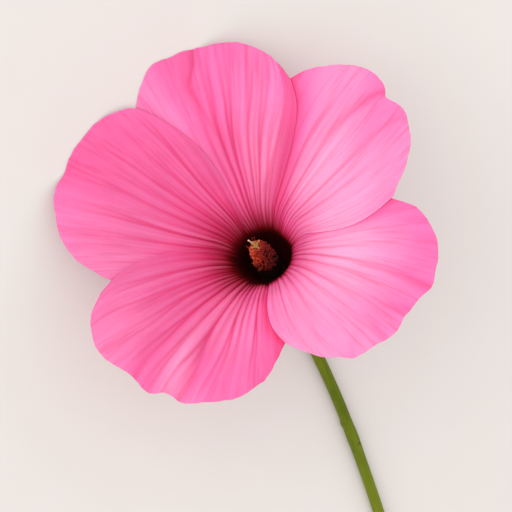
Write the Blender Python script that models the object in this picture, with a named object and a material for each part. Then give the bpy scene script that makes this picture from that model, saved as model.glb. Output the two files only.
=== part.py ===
"""Rose mallow flower, cut with a length of its stem and laid down on a surface.

The bloom is built upright about its own axis, Z, with its petals' claws at the
origin. One empty then leans it over, so that it rests on the rims of two petals
and on its stem. All lengths are in metres, and +Z is up.
"""

import math
from dataclasses import dataclass

import bmesh
import bpy
import numpy as np
from mathutils import Matrix, Vector

MM = 0.001
GAP = 0.3 * MM
FULL_TURN = 2 * math.pi
MERGE_DISTANCE = 0.01 * MM

# How the flower lies: its axis leans over the low side of the bloom
LEAN = math.radians(46.8)
LOW_SIDE = math.radians(136.0)
HEADING = math.radians(131.2)
CLAW_HEIGHT = 12.6 * MM

# Funnel that the five petals follow
CLAW_RADIUS = 5.8 * MM
THROAT_ANGLE = math.radians(12.0)
LIMB_ANGLE = math.radians(57.0)
LIP_LENGTH = 13.0 * MM
LIP_RUN = 9.0 * MM
FLARE_ANGLE = math.radians(8.0)
FLARE_START = 60.0 * MM
FLARE_RUN = 30.0 * MM
FUNNEL_REACH = 105.0 * MM
FUNNEL_STEP = 0.25 * MM

# Petal blades, and how each lies over the next one round the flower
PETAL_COUNT = 5
PETAL_STEP = FULL_TURN / PETAL_COUNT
FIRST_SEAT = math.radians(179.0)
BLADE_THICKNESS = 0.7 * MM
PETAL_LENGTH = 95.0 * MM
STACK_AT_CLAW = 1.15 * MM
STACK_AT_RIM = 2.7 * MM
BLADE_ROWS = 17
BLADE_COLUMNS = 24
ROW_CROWDING = 1.35
RIM_SHAPING_START = 0.3
RIM_SHAPING_POWER = 1.5
PLEAT_DEPTH = 0.34 * MM
PLEAT_START = 8.0 * MM
PLEAT_FULL = 22.0 * MM
PLEAT_FADE = 45.0 * MM
PLEAT_AT_LEAD = 0.6
PLEAT_LEAD_SHARE = 0.2
RUFFLE_DEPTH = 1.1 * MM
RUFFLE_AT_LEAD = 0.5
RUFFLE_LEAD_SHARE = 0.25
COVER_EASE = math.radians(14.0)
EDGE_SAMPLES = 60
PRESS_SOFTNESS = 0.6 * MM
LAP_RISE = 1.5 * MM
LAP_EASE = math.radians(9.0)

# Calyx, the green cup behind the petals
CALYX_THICKNESS = 0.8 * MM
CALYX_SEGMENTS = 30
CALYX_FLOOR = -3.0 * MM
CALYX_FLOOR_RADIUS = 4.8 * MM
CALYX_HEEL_RADIUS = 7.5 * MM
CALYX_HEEL = -2.4 * MM
CALYX_CUP_LENGTH = 13.0 * MM
CALYX_SINUS_LENGTH = 16.0 * MM
CALYX_LOBE_LENGTH = 37.0 * MM
CALYX_FIRST_LOBE = math.radians(143.0)
CALYX_LOBE_POWER = 1.2
CALYX_CUP_RINGS = (0.12, 0.45, 0.62, 0.8, 1.0)
CALYX_LOBE_RINGS = (0.2, 0.45, 0.72, 1.0)
CALYX_REACH = 0.82

# Epicalyx, the ring of slim bracts below the calyx
BRACT_COUNT = 10
BRACT_LENGTH = 25.0 * MM
BRACT_WIDTH = 2.4 * MM
BRACT_TAPER = 0.7
BRACT_THICKNESS = 0.8 * MM
BRACT_ROWS = 5
BRACT_TURN = math.radians(80.0)
BRACT_KEEL = 0.35 * MM
BRACT_ROOT_DEPTH = 1.2 * MM
BRACT_FIRST = math.radians(10.0)
COLLAR_INNER = 3.6 * MM
COLLAR_OUTER = 6.0 * MM
COLLAR_TOP = -3.75 * MM
COLLAR_DEPTH = 1.0 * MM
COLLAR_SEGMENTS = 20

# Staminal column, the tube that carries the stamens round the style
COLUMN_SEGMENTS = 16
COLUMN_BASE = -2.2 * MM
COLUMN_TOP = 26.5 * MM
COLUMN_OUTSIDE = (
    (4.2 * MM, COLUMN_BASE), (4.2 * MM, 1.0 * MM), (3.8 * MM, 3.6 * MM),
    (2.6 * MM, 6.6 * MM), (2.0 * MM, 8.8 * MM), (1.9 * MM, COLUMN_TOP),
)
COLUMN_INSIDE = (
    (1.25 * MM, COLUMN_TOP), (1.25 * MM, 8.2 * MM), (1.75 * MM, 6.2 * MM),
    (2.9 * MM, 3.4 * MM), (3.35 * MM, 1.0 * MM), (3.35 * MM, COLUMN_BASE),
)
STAMEN_COUNT = 38
STAMEN_LOWEST = 8.6 * MM
STAMEN_HIGHEST = 25.8 * MM
STAMEN_ROOT = 1.55 * MM
STAMEN_REACH = 4.3 * MM
STAMEN_CROWN = 0.16
STAMEN_SWAY = 0.3 * MM
STAMEN_SWAY_STEP = 2.1
STAMEN_TILT = math.radians(12.0)
STAMEN_TILT_GAIN = math.radians(24.0)
FILAMENT_RADIUS = 0.32 * MM
FILAMENT_SIDES = 4
ANTHER_SIZE = (0.85 * MM, 1.05 * MM, 0.8 * MM)
GOLDEN_ANGLE = math.radians(137.508)

# Pistil inside the column: ovary, style and five branches
OVARY_BASE = -2.2 * MM
OVARY_RADIUS = 2.7 * MM
OVARY_HEIGHT = 7.0 * MM
OVARY_STEPS = 9
STYLE_RADIUS = 0.75 * MM
STYLE_TOP = 27.4 * MM
STYLE_TIP = 27.8 * MM
STYLE_SEGMENTS = 10
BRANCH_COUNT = 5
BRANCH_STEPS = 4
BRANCH_SIDES = 6
BRANCH_ROOT = 26.9 * MM
BRANCH_CURVE = 1.5
BRANCH_RADIUS = 0.42 * MM
BRANCH_SPREAD = 2.3 * MM
BRANCH_RISE = 2.6 * MM
BRANCH_FIRST = math.radians(18.0)
STIGMA_RADIUS = 0.8 * MM

# Stem, from the disc under the calyx to the cut end
STEM_SIDES = 12
STEM_RADIUS = 2.5 * MM
STEM_LENGTH = 176.0 * MM
STEM_STEP = 4.6 * MM
STEM_TURN = math.radians(23.5)
STEM_TURN_LENGTH = 55.0 * MM
RECEPTACLE_RADIUS = 3.15 * MM
RECEPTACLE_TOP = -3.7 * MM
RECEPTACLE_NECK = 3.3 * MM
NECK_RADIUS = 2.7 * MM
RECEPTACLE_SHARE = 0.4
JOINT_AT = 86.0 * MM
JOINT_RUN = 5.0 * MM
JOINT_SWELL = 0.25 * MM

# Colours in linear light, with each piece's roughness
PETAL_COLOUR = (0.90, 0.16, 0.37, 1.0)
SEPAL_COLOUR = (0.22, 0.30, 0.05, 1.0)
BRACT_COLOUR = (0.19, 0.27, 0.04, 1.0)
COLUMN_COLOUR = (0.42, 0.07, 0.03, 1.0)
PISTIL_COLOUR = (0.62, 0.42, 0.16, 1.0)
STEM_COLOUR = (0.14, 0.22, 0.03, 1.0)
PETAL_ROUGHNESS = 0.75
GREEN_ROUGHNESS = 0.55


@dataclass(frozen=True)
class PetalPlan:
    """Outline of one petal, in millimetres along the blade and degrees round the axis.

    lead is the edge that lies on top of the next petal, from the claw outwards.
    trail is the edge that the petal before it covers. rim joins their ends.
    waves and phase place the slow ruffles along the rim. Up to the angle lap_end,
    the petal lies on the next one where both touch the surface.
    """

    name: str
    lead: tuple
    trail: tuple
    rim: tuple
    waves: float
    phase: float
    lap_end: float = -90.0


# The petals clockwise from the left, as the flower faces the viewer
PETALS = (
    PetalPlan(
        "petal_left",
        lead=((0, 139), (12, 131), (25, 122), (44, 119), (62, 123), (78, 129.5)),
        trail=((0, 217), (25, 215), (50, 213)),
        rim=((78, 129.5), (88, 135.5), (94.5, 144), (96, 154), (94, 163), (96, 168),
             (93.5, 179), (85, 191), (73, 200), (60, 209), (50, 213)),
        waves=2.5, phase=0.3, lap_end=138.0,
    ),
    PetalPlan(
        "petal_top",
        lead=((0, 67), (12, 73), (25, 77), (38, 73.5), (54, 71.5), (70, 73), (79, 77)),
        trail=((0, 147), (25, 148), (48, 148)),
        rim=((79, 77), (86, 83), (92.5, 92), (95, 102), (94.5, 105), (96.5, 113), (96, 121),
             (91, 127), (84, 135), (70, 143), (58, 147), (48, 148)),
        waves=2.0, phase=0.1,
    ),
    PetalPlan(
        "petal_upper_right",
        lead=((0, 8), (12, 18), (22, 21), (31, 14), (40, 9), (50, 7), (60, 8.5), (70, 11.5)),
        trail=((0, 86), (25, 90), (50, 91)),
        rim=((70, 11.5), (80, 19), (88, 29), (91, 36), (89.5, 43.5), (92.5, 47.5), (93.5, 54),
             (90.5, 61), (83, 73), (74, 82), (62, 88), (50, 91)),
        waves=2.0, phase=0.6,
    ),
    PetalPlan(
        "petal_lower_right",
        lead=((0, 284), (15, 281), (32, 278.5), (45, 280.5), (60, 287)),
        trail=((0, 378), (25, 382), (45, 382)),
        rim=((60, 287), (72, 294), (83, 303), (91, 310.5), (90.5, 317), (93, 321), (91.7, 325),
             (95, 336), (92.5, 347), (84, 360), (70, 370), (57, 378), (45, 382)),
        waves=3.0, phase=0.2,
    ),
    PetalPlan(
        "petal_lower_left",
        lead=((0, 198), (10, 187), (21, 180.5), (33, 182), (52, 189.5), (67, 197), (78, 204.5)),
        trail=((0, 293), (25, 296), (42, 296)),
        rim=((78, 204.5), (87.5, 213), (93.5, 224), (91.8, 236), (95, 244), (91.5, 249),
             (93, 256), (90, 267), (82, 276), (66, 284), (52, 292), (42, 296)),
        waves=3.0, phase=0.5,
    ),
)


def smoothstep(value):
    """Ease from 0 to 1 as value goes from 0 to 1."""
    x = np.clip(value, 0.0, 1.0)
    return x * x * (3 - 2 * x)


def smooth_curve(points, places):
    """Read a Catmull-Rom curve through 2D points at places from 0 to 1 along it."""
    knots = np.array(points, dtype=float)
    spans = np.linalg.norm(np.diff(knots, axis=0), axis=1)
    stations = np.concatenate([[0.0], np.cumsum(spans)]) / spans.sum()
    slopes = np.gradient(knots, stations, axis=0)
    places = np.clip(np.asarray(places, dtype=float), 0.0, 1.0)
    index = np.clip(np.searchsorted(stations, places, side="right") - 1, 0, len(knots) - 2)
    width = stations[index + 1] - stations[index]
    x = ((places - stations[index]) / width)[..., None]
    width = width[..., None]
    start = knots[index] * (2 * x**3 - 3 * x**2 + 1) + slopes[index] * width * (x**3 - 2 * x**2 + x)
    end = knots[index + 1] * (3 * x**2 - 2 * x**3) + slopes[index + 1] * width * (x**3 - x**2)
    return start + end


class Funnel:
    """Turned surface that the petals and the calyx follow, measured along its slope."""

    def __init__(self):
        self.length = np.arange(0.0, FUNNEL_REACH, FUNNEL_STEP)
        bend = smoothstep((self.length - (LIP_LENGTH - LIP_RUN / 2)) / LIP_RUN)
        flare = np.clip((self.length - FLARE_START) / FLARE_RUN, 0.0, None) ** 2
        self.slope = THROAT_ANGLE + (LIMB_ANGLE - THROAT_ANGLE) * bend + FLARE_ANGLE * flare
        self.radius = CLAW_RADIUS + self._summed(np.sin(self.slope))
        self.height = self._summed(np.cos(self.slope))

    @staticmethod
    def _summed(rate):
        steps = (rate[1:] + rate[:-1]) / 2 * FUNNEL_STEP
        return np.concatenate([[0.0], np.cumsum(steps)])

    def points(self, length, angle, lift):
        """Points at a length up the slope and an angle, lifted towards the viewer."""
        slope = np.interp(length, self.length, self.slope)
        radius = np.interp(length, self.length, self.radius) - lift * np.cos(slope)
        height = np.interp(length, self.length, self.height) + lift * np.sin(slope)
        return np.stack([radius * np.cos(angle), radius * np.sin(angle), height], axis=-1)


def stack_step(length):
    """Distance from one petal's mean surface to the next one's, where they overlap."""
    return STACK_AT_CLAW + (STACK_AT_RIM - STACK_AT_CLAW) * np.clip(length / PETAL_LENGTH, 0, 1)


def edge_angle(edge, length):
    """Angle of a petal's side edge at a length along the blade."""
    knots = np.array(edge, dtype=float)
    curve = smooth_curve(knots, np.linspace(0.0, 1.0, EDGE_SAMPLES))
    return np.radians(np.interp(length / MM, curve[:, 0], curve[:, 1]))


def blade_layout(plan):
    """Lengths and angles of one petal's grid, rows from claw to rim, columns from lead to trail."""
    row = np.linspace(0.0, 1.0, BLADE_ROWS + 1)[:, None]
    column = np.linspace(0.0, 1.0, BLADE_COLUMNS + 1)[None, :]
    rim = smooth_curve(plan.rim, column[0])
    rim_length = rim[:, 0] * MM
    rim_angle = np.radians(rim[:, 1])
    shaping = np.clip((row - RIM_SHAPING_START) / (1 - RIM_SHAPING_START), 0, 1) ** RIM_SHAPING_POWER
    length = PETAL_LENGTH * row**ROW_CROWDING + (rim_length - PETAL_LENGTH) * shaping
    lead = edge_angle(plan.lead, length[:, 0])[:, None]
    trail = edge_angle(plan.trail, length[:, -1])[:, None]
    even = lead + (trail - lead) * column
    rim_shift = rim_angle - (rim_angle[0] + (rim_angle[-1] - rim_angle[0]) * column[0])
    angle = even + rim_shift * row
    return length, angle, row, column


def blade_lift(index, length, angle, row, column):
    """Height of one petal's grid above the funnel: its place in the stack, pleats and ruffles."""
    plan = PETALS[index]
    before = PETALS[index - 1]
    seat = (FIRST_SEAT - PETAL_STEP * index) % FULL_TURN
    lift = stack_step(length) * (seat - angle) / PETAL_STEP
    cover = edge_angle(before.lead, length)
    cover = cover + FULL_TURN * np.round((angle[:, -1:] - cover) / FULL_TURN)
    bare = 1 - smoothstep((angle - cover + COVER_EASE / 2) / COVER_EASE)
    pleat_rise = smoothstep((length - PLEAT_START) / (PLEAT_FULL - PLEAT_START))
    pleat_fall = np.exp(-np.clip(length - PLEAT_FULL, 0, None) / PLEAT_FADE)
    side = np.where(np.arange(BLADE_COLUMNS + 1) % 2, 1.0, -1.0)[None, :]
    pleat_side = PLEAT_AT_LEAD + (1 - PLEAT_AT_LEAD) * smoothstep(column / PLEAT_LEAD_SHARE)
    pleats = PLEAT_DEPTH * side * pleat_rise * pleat_fall * pleat_side * bare
    ruffle = np.sin(FULL_TURN * (plan.waves * column + plan.phase))
    ruffle_side = RUFFLE_AT_LEAD + (1 - RUFFLE_AT_LEAD) * smoothstep(column / RUFFLE_LEAD_SHARE)
    ruffles = RUFFLE_DEPTH * ruffle * row**3 * ruffle_side * bare
    return lift + pleats + ruffles


def bloom_matrix():
    """Placement of the upright bloom: turned to its low side, leaned over and set down."""
    turn = Matrix.Rotation(HEADING, 4, "Z") @ Matrix.Rotation(LEAN, 4, "Y")
    return Matrix.Translation((0, 0, CLAW_HEIGHT)) @ turn @ Matrix.Rotation(-LOW_SIDE, 4, "Z")


def resting_height(plan, angle):
    """Height of a petal's middle where it lies on the surface, or on the next petal there."""
    over = 1 - smoothstep((angle - math.radians(plan.lap_end)) / LAP_EASE)
    return BLADE_THICKNESS / 2 + LAP_RISE * over


def pressed(points, floor, matrix):
    """Bend points that would sink below their floor flat along it."""
    placement = np.array(matrix)
    turn = placement[:3, :3]
    world = points @ turn.T + placement[:3, 3]
    rise = np.clip(world[..., 2] - floor, -PRESS_SOFTNESS, None)
    eased = (rise + PRESS_SOFTNESS) ** 2 / (4 * PRESS_SOFTNESS)
    world[..., 2] = floor + np.where(rise < PRESS_SOFTNESS, eased, rise)
    return (world - placement[:3, 3]) @ turn


def clear_scene():
    """Remove every object, so that the file holds this model only."""
    for item in list(bpy.data.objects):
        bpy.data.objects.remove(item, do_unlink=True)


def material(name, colour, roughness):
    """Plain Principled material."""
    result = bpy.data.materials.new(name)
    result.use_nodes = True
    shader = result.node_tree.nodes["Principled BSDF"]
    shader.inputs["Base Color"].default_value = colour
    shader.inputs["Roughness"].default_value = roughness
    shader.inputs["Metallic"].default_value = 0.0
    return result


def object_from(name, shape, finish):
    """Turn a bmesh into a named, smooth-shaded object with one material."""
    bmesh.ops.recalc_face_normals(shape, faces=shape.faces)
    mesh = bpy.data.meshes.new(name)
    shape.to_mesh(mesh)
    shape.free()
    mesh.shade_smooth()
    result = bpy.data.objects.new(name, mesh)
    bpy.context.scene.collection.objects.link(result)
    mesh.materials.append(finish)
    return result


def thicken(item, thickness):
    """Give a surface an even thickness on both sides."""
    solid = item.modifiers.new("Thickness", "SOLIDIFY")
    solid.thickness = thickness
    solid.offset = 0.0
    solid.use_even_offset = False


def fuse(body, pieces, solver="EXACT"):
    """Join pieces to a body as one solid, and remove the pieces.

    The bracts cross the collar at shallow angles and need the MANIFOLD solver.
    """
    group = bpy.data.collections.new(body.name + "_pieces")
    bpy.context.scene.collection.children.link(group)
    for piece in pieces:
        bpy.context.scene.collection.objects.unlink(piece)
        group.objects.link(piece)
    union = body.modifiers.new("Union", "BOOLEAN")
    union.operation = "UNION"
    union.solver = solver
    union.operand_type = "COLLECTION"
    union.collection = group
    bpy.context.view_layer.update()
    fused = bpy.data.meshes.new_from_object(body.evaluated_get(bpy.context.evaluated_depsgraph_get()))
    body.modifiers.clear()
    body.data = fused
    for piece in pieces:
        bpy.data.objects.remove(piece, do_unlink=True)
    bpy.data.collections.remove(group)


def turned_shape(profile, segments):
    """Closed body turned about Z from a profile of (radius, height), open at the axis."""
    shape = bmesh.new()
    loop = [shape.verts.new((radius, 0.0, height)) for radius, height in profile]
    edges = [shape.edges.new((loop[i], loop[(i + 1) % len(loop)])) for i in range(len(loop))]
    bmesh.ops.spin(
        shape, geom=loop + edges, cent=(0, 0, 0), axis=(0, 0, 1),
        angle=FULL_TURN, steps=segments, use_merge=True, use_duplicate=False,
    )
    bmesh.ops.remove_doubles(shape, verts=shape.verts, dist=MERGE_DISTANCE)
    return shape


def tube_shape(centres, radii, sides, up):
    """Closed tube through centres, with flat sides square to up kept along it."""
    shape = bmesh.new()
    rings = []
    for place, centre in enumerate(centres):
        after = centres[min(place + 1, len(centres) - 1)]
        behind = centres[max(place - 1, 0)]
        along = (after - behind).normalized()
        across = along.cross(up).normalized()
        upward = across.cross(along)
        corner = radii[place] / math.cos(math.pi / sides)
        ring = []
        for side in range(sides):
            turn = FULL_TURN * (side + 0.5) / sides
            spoke = math.cos(turn) * upward + math.sin(turn) * across
            ring.append(shape.verts.new(centre + corner * spoke))
        rings.append(ring)
    for lower, upper in zip(rings, rings[1:]):
        for side in range(sides):
            other = (side + 1) % sides
            shape.faces.new((lower[side], lower[other], upper[other], upper[side]))
    shape.faces.new(rings[0])
    shape.faces.new(rings[-1])
    return shape


def build_petal(index, funnel, matrix, finish):
    """One petal: a grid laid out in its own outline, lifted into place and thickened."""
    plan = PETALS[index]
    length, angle, row, column = blade_layout(plan)
    lift = blade_lift(index, length, angle, row, column)
    places = pressed(funnel.points(length, angle, lift), resting_height(plan, angle), matrix)
    places = places.reshape(-1, 3)
    shape = bmesh.new()
    bmesh.ops.create_grid(shape, x_segments=BLADE_COLUMNS, y_segments=BLADE_ROWS, size=0.5)
    shape.verts.ensure_lookup_table()
    for vert in shape.verts:
        across = round((vert.co.x + 0.5) * BLADE_COLUMNS)
        along = round((vert.co.y + 0.5) * BLADE_ROWS)
        vert.co = Vector(places[along * (BLADE_COLUMNS + 1) + across])
    bmesh.ops.triangulate(shape, faces=shape.faces)
    petal = object_from(plan.name, shape, finish)
    thicken(petal, BLADE_THICKNESS)
    return petal


def calyx_edge(angle):
    """Length of the calyx at an angle: five pointed lobes with short bays between."""
    turn = (angle - CALYX_FIRST_LOBE) / PETAL_STEP
    off_tip = abs(turn - round(turn)) * 2
    lobe = (1 - off_tip) ** CALYX_LOBE_POWER
    return CALYX_SINUS_LENGTH + (CALYX_LOBE_LENGTH - CALYX_SINUS_LENGTH) * lobe


def calyx_lift(length):
    """Distance of the calyx's middle behind the funnel, clear of the lowest petal edge."""
    room = BLADE_THICKNESS / 2 + CALYX_THICKNESS / 2 + 2 * GAP
    return -(CALYX_REACH * stack_step(length) + room)


def build_calyx(funnel, finish):
    """Cup with a flat floor, extruded ring by ring out to its five lobes."""
    shape = bmesh.new()
    bmesh.ops.create_circle(shape, segments=CALYX_SEGMENTS, radius=CALYX_FLOOR_RADIUS, cap_ends=True)
    bmesh.ops.translate(shape, verts=shape.verts, vec=(0, 0, CALYX_FLOOR))
    rings = [("heel", 0.0)]
    rings += [("cup", share) for share in CALYX_CUP_RINGS]
    rings += [("lobe", share) for share in CALYX_LOBE_RINGS]
    edges = [edge for edge in shape.edges if edge.is_boundary]
    for kind, share in rings:
        grown = bmesh.ops.extrude_edge_only(shape, edges=edges)["geom"]
        for vert in [item for item in grown if isinstance(item, bmesh.types.BMVert)]:
            angle = math.atan2(vert.co.y, vert.co.x)
            if kind == "heel":
                vert.co.x = CALYX_HEEL_RADIUS * math.cos(angle)
                vert.co.y = CALYX_HEEL_RADIUS * math.sin(angle)
                vert.co.z = CALYX_HEEL
                continue
            length = CALYX_CUP_LENGTH * share
            if kind == "lobe":
                length = CALYX_CUP_LENGTH + (calyx_edge(angle) - CALYX_CUP_LENGTH) * share
            vert.co = Vector(funnel.points(length, angle, calyx_lift(length)))
        edges = [item for item in grown if isinstance(item, bmesh.types.BMEdge)]
    bmesh.ops.triangulate(shape, faces=shape.faces)
    calyx = object_from("calyx", shape, finish)
    thicken(calyx, CALYX_THICKNESS)
    return calyx


def bract_shape(angle):
    """One slim bract that springs from the collar, spreads and turns up at its tip."""
    shape = bmesh.new()
    bmesh.ops.create_grid(shape, x_segments=2, y_segments=BRACT_ROWS, size=0.5)
    middle_z = COLLAR_TOP - COLLAR_DEPTH / 2
    outward = Vector((math.cos(angle), math.sin(angle), 0))
    sideways = Vector((-math.sin(angle), math.cos(angle), 0))
    root = COLLAR_OUTER - BRACT_ROOT_DEPTH
    for vert in shape.verts:
        across = vert.co.x * 2
        along = vert.co.y + 0.5
        width = BRACT_WIDTH / 2 * (1 - BRACT_TAPER * along**2)
        climb = BRACT_TURN * along
        reach = root + BRACT_LENGTH * math.sin(climb) / BRACT_TURN
        rise = middle_z + BRACT_LENGTH * (1 - math.cos(climb)) / BRACT_TURN
        keel = BRACT_KEEL * abs(across) * along
        vert.co = outward * reach + sideways * (width * across) + Vector((0, 0, rise + keel))
    bmesh.ops.triangulate(shape, faces=shape.faces)
    bmesh.ops.recalc_face_normals(shape, faces=shape.faces)
    return shape


def build_epicalyx(finish):
    """Collar round the top of the stem with its ring of bracts."""
    profile = (
        (COLLAR_INNER, COLLAR_TOP - COLLAR_DEPTH), (COLLAR_OUTER, COLLAR_TOP - COLLAR_DEPTH),
        (COLLAR_OUTER, COLLAR_TOP), (COLLAR_INNER, COLLAR_TOP),
    )
    collar = object_from("epicalyx", turned_shape(profile, COLLAR_SEGMENTS), finish)
    bracts = []
    for index in range(BRACT_COUNT):
        angle = BRACT_FIRST + FULL_TURN * index / BRACT_COUNT
        bract = object_from(f"bract_{index}", bract_shape(angle), finish)
        thicken(bract, BRACT_THICKNESS)
        bracts.append(bract)
    fuse(collar, bracts, solver="MANIFOLD")
    return collar


def stamen_shape(height, angle, reach, tilt):
    """One stamen: a thin filament with a bean-shaped anther at its end."""
    shape = bmesh.new()
    root = Vector((STAMEN_ROOT, 0, 0))
    tip = Vector((reach, 0, (reach - STAMEN_ROOT) * math.tan(tilt)))
    along = tip - root
    bmesh.ops.create_cone(
        shape, cap_ends=True, segments=FILAMENT_SIDES, radius1=FILAMENT_RADIUS,
        radius2=FILAMENT_RADIUS, depth=along.length,
    )
    aim = Vector((0, 0, 1)).rotation_difference(along).to_matrix().to_4x4()
    bmesh.ops.transform(shape, matrix=Matrix.Translation((root + tip) / 2) @ aim, verts=shape.verts)
    place = Matrix.Rotation(angle, 4, "Z") @ Matrix.Translation((0, 0, height))
    bmesh.ops.transform(shape, matrix=place, verts=shape.verts)
    anther = bmesh.new()
    bmesh.ops.create_icosphere(anther, subdivisions=1, radius=1.0)
    size = Matrix.Diagonal((*ANTHER_SIZE, 1.0))
    bmesh.ops.transform(anther, matrix=place @ Matrix.Translation(tip) @ size, verts=anther.verts)
    return shape, anther


def build_column(finish):
    """Tube with a domed foot over the ovary, and stamens set round it in a spiral."""
    tube = turned_shape(COLUMN_OUTSIDE + COLUMN_INSIDE, COLUMN_SEGMENTS)
    column = object_from("staminal_column", tube, finish)
    pieces = []
    for index in range(STAMEN_COUNT):
        share = (index + 0.5) / STAMEN_COUNT
        height = STAMEN_LOWEST + (STAMEN_HIGHEST - STAMEN_LOWEST) * share
        reach = STAMEN_REACH * (1 - STAMEN_CROWN * share**4)
        reach += STAMEN_SWAY * math.sin(STAMEN_SWAY_STEP * index)
        tilt = STAMEN_TILT + STAMEN_TILT_GAIN * share
        filament, anther = stamen_shape(height, index * GOLDEN_ANGLE, reach, tilt)
        pieces.append(object_from(f"filament_{index}", filament, finish))
        pieces.append(object_from(f"anther_{index}", anther, finish))
    fuse(column, pieces)
    return column


def build_pistil(finish):
    """Ovary and style in one turned body, with five branches that end in round stigmas."""
    profile = [(0.0, OVARY_BASE)]
    for step in range(1, OVARY_STEPS - 1):
        turn = math.pi * step / OVARY_STEPS
        radius = OVARY_RADIUS * math.sin(turn)
        profile.append((radius, OVARY_BASE + OVARY_HEIGHT * (1 - math.cos(turn)) / 2))
    profile.append((STYLE_RADIUS, OVARY_BASE + OVARY_HEIGHT))
    profile.append((STYLE_RADIUS, STYLE_TOP))
    profile.append((0.0, STYLE_TIP))
    shape = bmesh.new()
    line = [shape.verts.new((radius, 0, height)) for radius, height in profile]
    edges = [shape.edges.new(pair) for pair in zip(line, line[1:])]
    bmesh.ops.spin(
        shape, geom=line + edges, cent=(0, 0, 0), axis=(0, 0, 1),
        angle=FULL_TURN, steps=STYLE_SEGMENTS, use_merge=True, use_duplicate=False,
    )
    bmesh.ops.remove_doubles(shape, verts=shape.verts, dist=MERGE_DISTANCE)
    pistil = object_from("pistil", shape, finish)
    pieces = []
    for index in range(BRANCH_COUNT):
        angle = BRANCH_FIRST + FULL_TURN * index / BRANCH_COUNT
        outward = Vector((math.cos(angle), math.sin(angle), 0))
        centres = []
        for step in range(BRANCH_STEPS + 1):
            share = step / BRANCH_STEPS
            height = BRANCH_ROOT + BRANCH_RISE * share
            centres.append(outward * BRANCH_SPREAD * share**BRANCH_CURVE + Vector((0, 0, height)))
        branch = tube_shape(centres, [BRANCH_RADIUS] * len(centres), BRANCH_SIDES, outward)
        pieces.append(object_from(f"branch_{index}", branch, finish))
        knob = bmesh.new()
        bmesh.ops.create_icosphere(knob, subdivisions=1, radius=STIGMA_RADIUS)
        bmesh.ops.translate(knob, verts=knob.verts, vec=centres[-1])
        pieces.append(object_from(f"stigma_{index}", knob, finish))
    fuse(pistil, pieces)
    return pistil


def stem_route(matrix):
    """Centres and radii of the stem, from under the calyx down to the surface and along it."""
    axis = (matrix.to_3x3() @ Vector((0, 0, 1))).normalized()
    start = matrix @ Vector((0, 0, RECEPTACLE_TOP))
    dive = math.asin(axis.z)
    heading = math.atan2(-axis.y, -axis.x)
    neck = start - axis * RECEPTACLE_NECK
    bend_radius = (neck.z - STEM_RADIUS) / (1 - math.cos(dive))
    bend_length = bend_radius * dive
    centres = [start.copy()]
    radii = [RECEPTACLE_RADIUS]
    for share, radius in ((RECEPTACLE_SHARE, RECEPTACLE_RADIUS), (1.0, NECK_RADIUS)):
        centres.append(start - axis * RECEPTACLE_NECK * share)
        radii.append(radius)
    steps = round(STEM_LENGTH / STEM_STEP)
    stride = STEM_LENGTH / steps
    place = neck.copy()
    for step in range(steps):
        middle = stride * (step + 0.5)
        pitch = dive * (1 - min(1.0, middle / bend_length))
        course = heading - STEM_TURN * (1 - math.exp(-middle / STEM_TURN_LENGTH))
        place += stride * math.cos(pitch) * Vector((math.cos(course), math.sin(course), 0))
        run = stride * (step + 1)
        swell = JOINT_SWELL * math.exp(-((run - JOINT_AT) / JOINT_RUN) ** 2)
        left = dive * (1 - min(1.0, run / bend_length))
        place.z = STEM_RADIUS + bend_radius * (1 - math.cos(left)) + swell
        centres.append(place.copy())
        radii.append(STEM_RADIUS + swell)
    return centres, radii


def build_stem(matrix, finish):
    """Stem with a disc that carries the flower, a swollen joint and a cut end."""
    centres, radii = stem_route(matrix)
    shape = tube_shape(centres, radii, STEM_SIDES, Vector((0, 0, 1)))
    bmesh.ops.triangulate(shape, faces=shape.faces)
    return object_from("stem", shape, finish)


def centring_shift(items):
    """Sideways move that centres the model's box over the origin."""
    bpy.context.view_layer.update()
    graph = bpy.context.evaluated_depsgraph_get()
    corners = []
    for item in items:
        ready = item.evaluated_get(graph)
        corners += [item.matrix_world @ vert.co for vert in ready.data.vertices]
    middle_x = (min(corner.x for corner in corners) + max(corner.x for corner in corners)) / 2
    middle_y = (min(corner.y for corner in corners) + max(corner.y for corner in corners)) / 2
    return Vector((-middle_x, -middle_y, 0))


def main():
    """Build every piece of the flower in its resting place."""
    clear_scene()
    funnel = Funnel()
    matrix = bloom_matrix()
    petal_finish = material("petal", PETAL_COLOUR, PETAL_ROUGHNESS)
    pieces = []
    for index in range(PETAL_COUNT):
        pieces.append(build_petal(index, funnel, matrix, petal_finish))
    pieces.append(build_calyx(funnel, material("calyx", SEPAL_COLOUR, GREEN_ROUGHNESS)))
    pieces.append(build_epicalyx(material("epicalyx", BRACT_COLOUR, GREEN_ROUGHNESS)))
    pieces.append(build_column(material("column", COLUMN_COLOUR, PETAL_ROUGHNESS)))
    pieces.append(build_pistil(material("pistil", PISTIL_COLOUR, GREEN_ROUGHNESS)))
    bloom = bpy.data.objects.new("bloom_axis", None)
    bpy.context.scene.collection.objects.link(bloom)
    for piece in pieces:
        piece.parent = bloom
    bloom.matrix_world = matrix
    stem = build_stem(matrix, material("stem", STEM_COLOUR, GREEN_ROUGHNESS))
    shift = centring_shift(pieces + [stem])
    bloom.matrix_world = Matrix.Translation(shift) @ matrix
    stem.location = shift


main()
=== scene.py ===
"""Looks of the cut rose mallow flower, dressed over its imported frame.

Petals, calyx, epicalyx, staminal column, pistil and stem are made again here as
fine meshes in the places of the frame's plain solids, and get their finishes.
Lengths are in metres. A petal's outline is in millimetres along the blade and
degrees round the bloom's axis, clockwise from the left as the flower faces the
viewer.
"""

import logging
import math
from dataclasses import dataclass, field
from enum import Enum

import bmesh
import bpy
import numpy as np
from mathutils import Matrix, Vector


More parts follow.
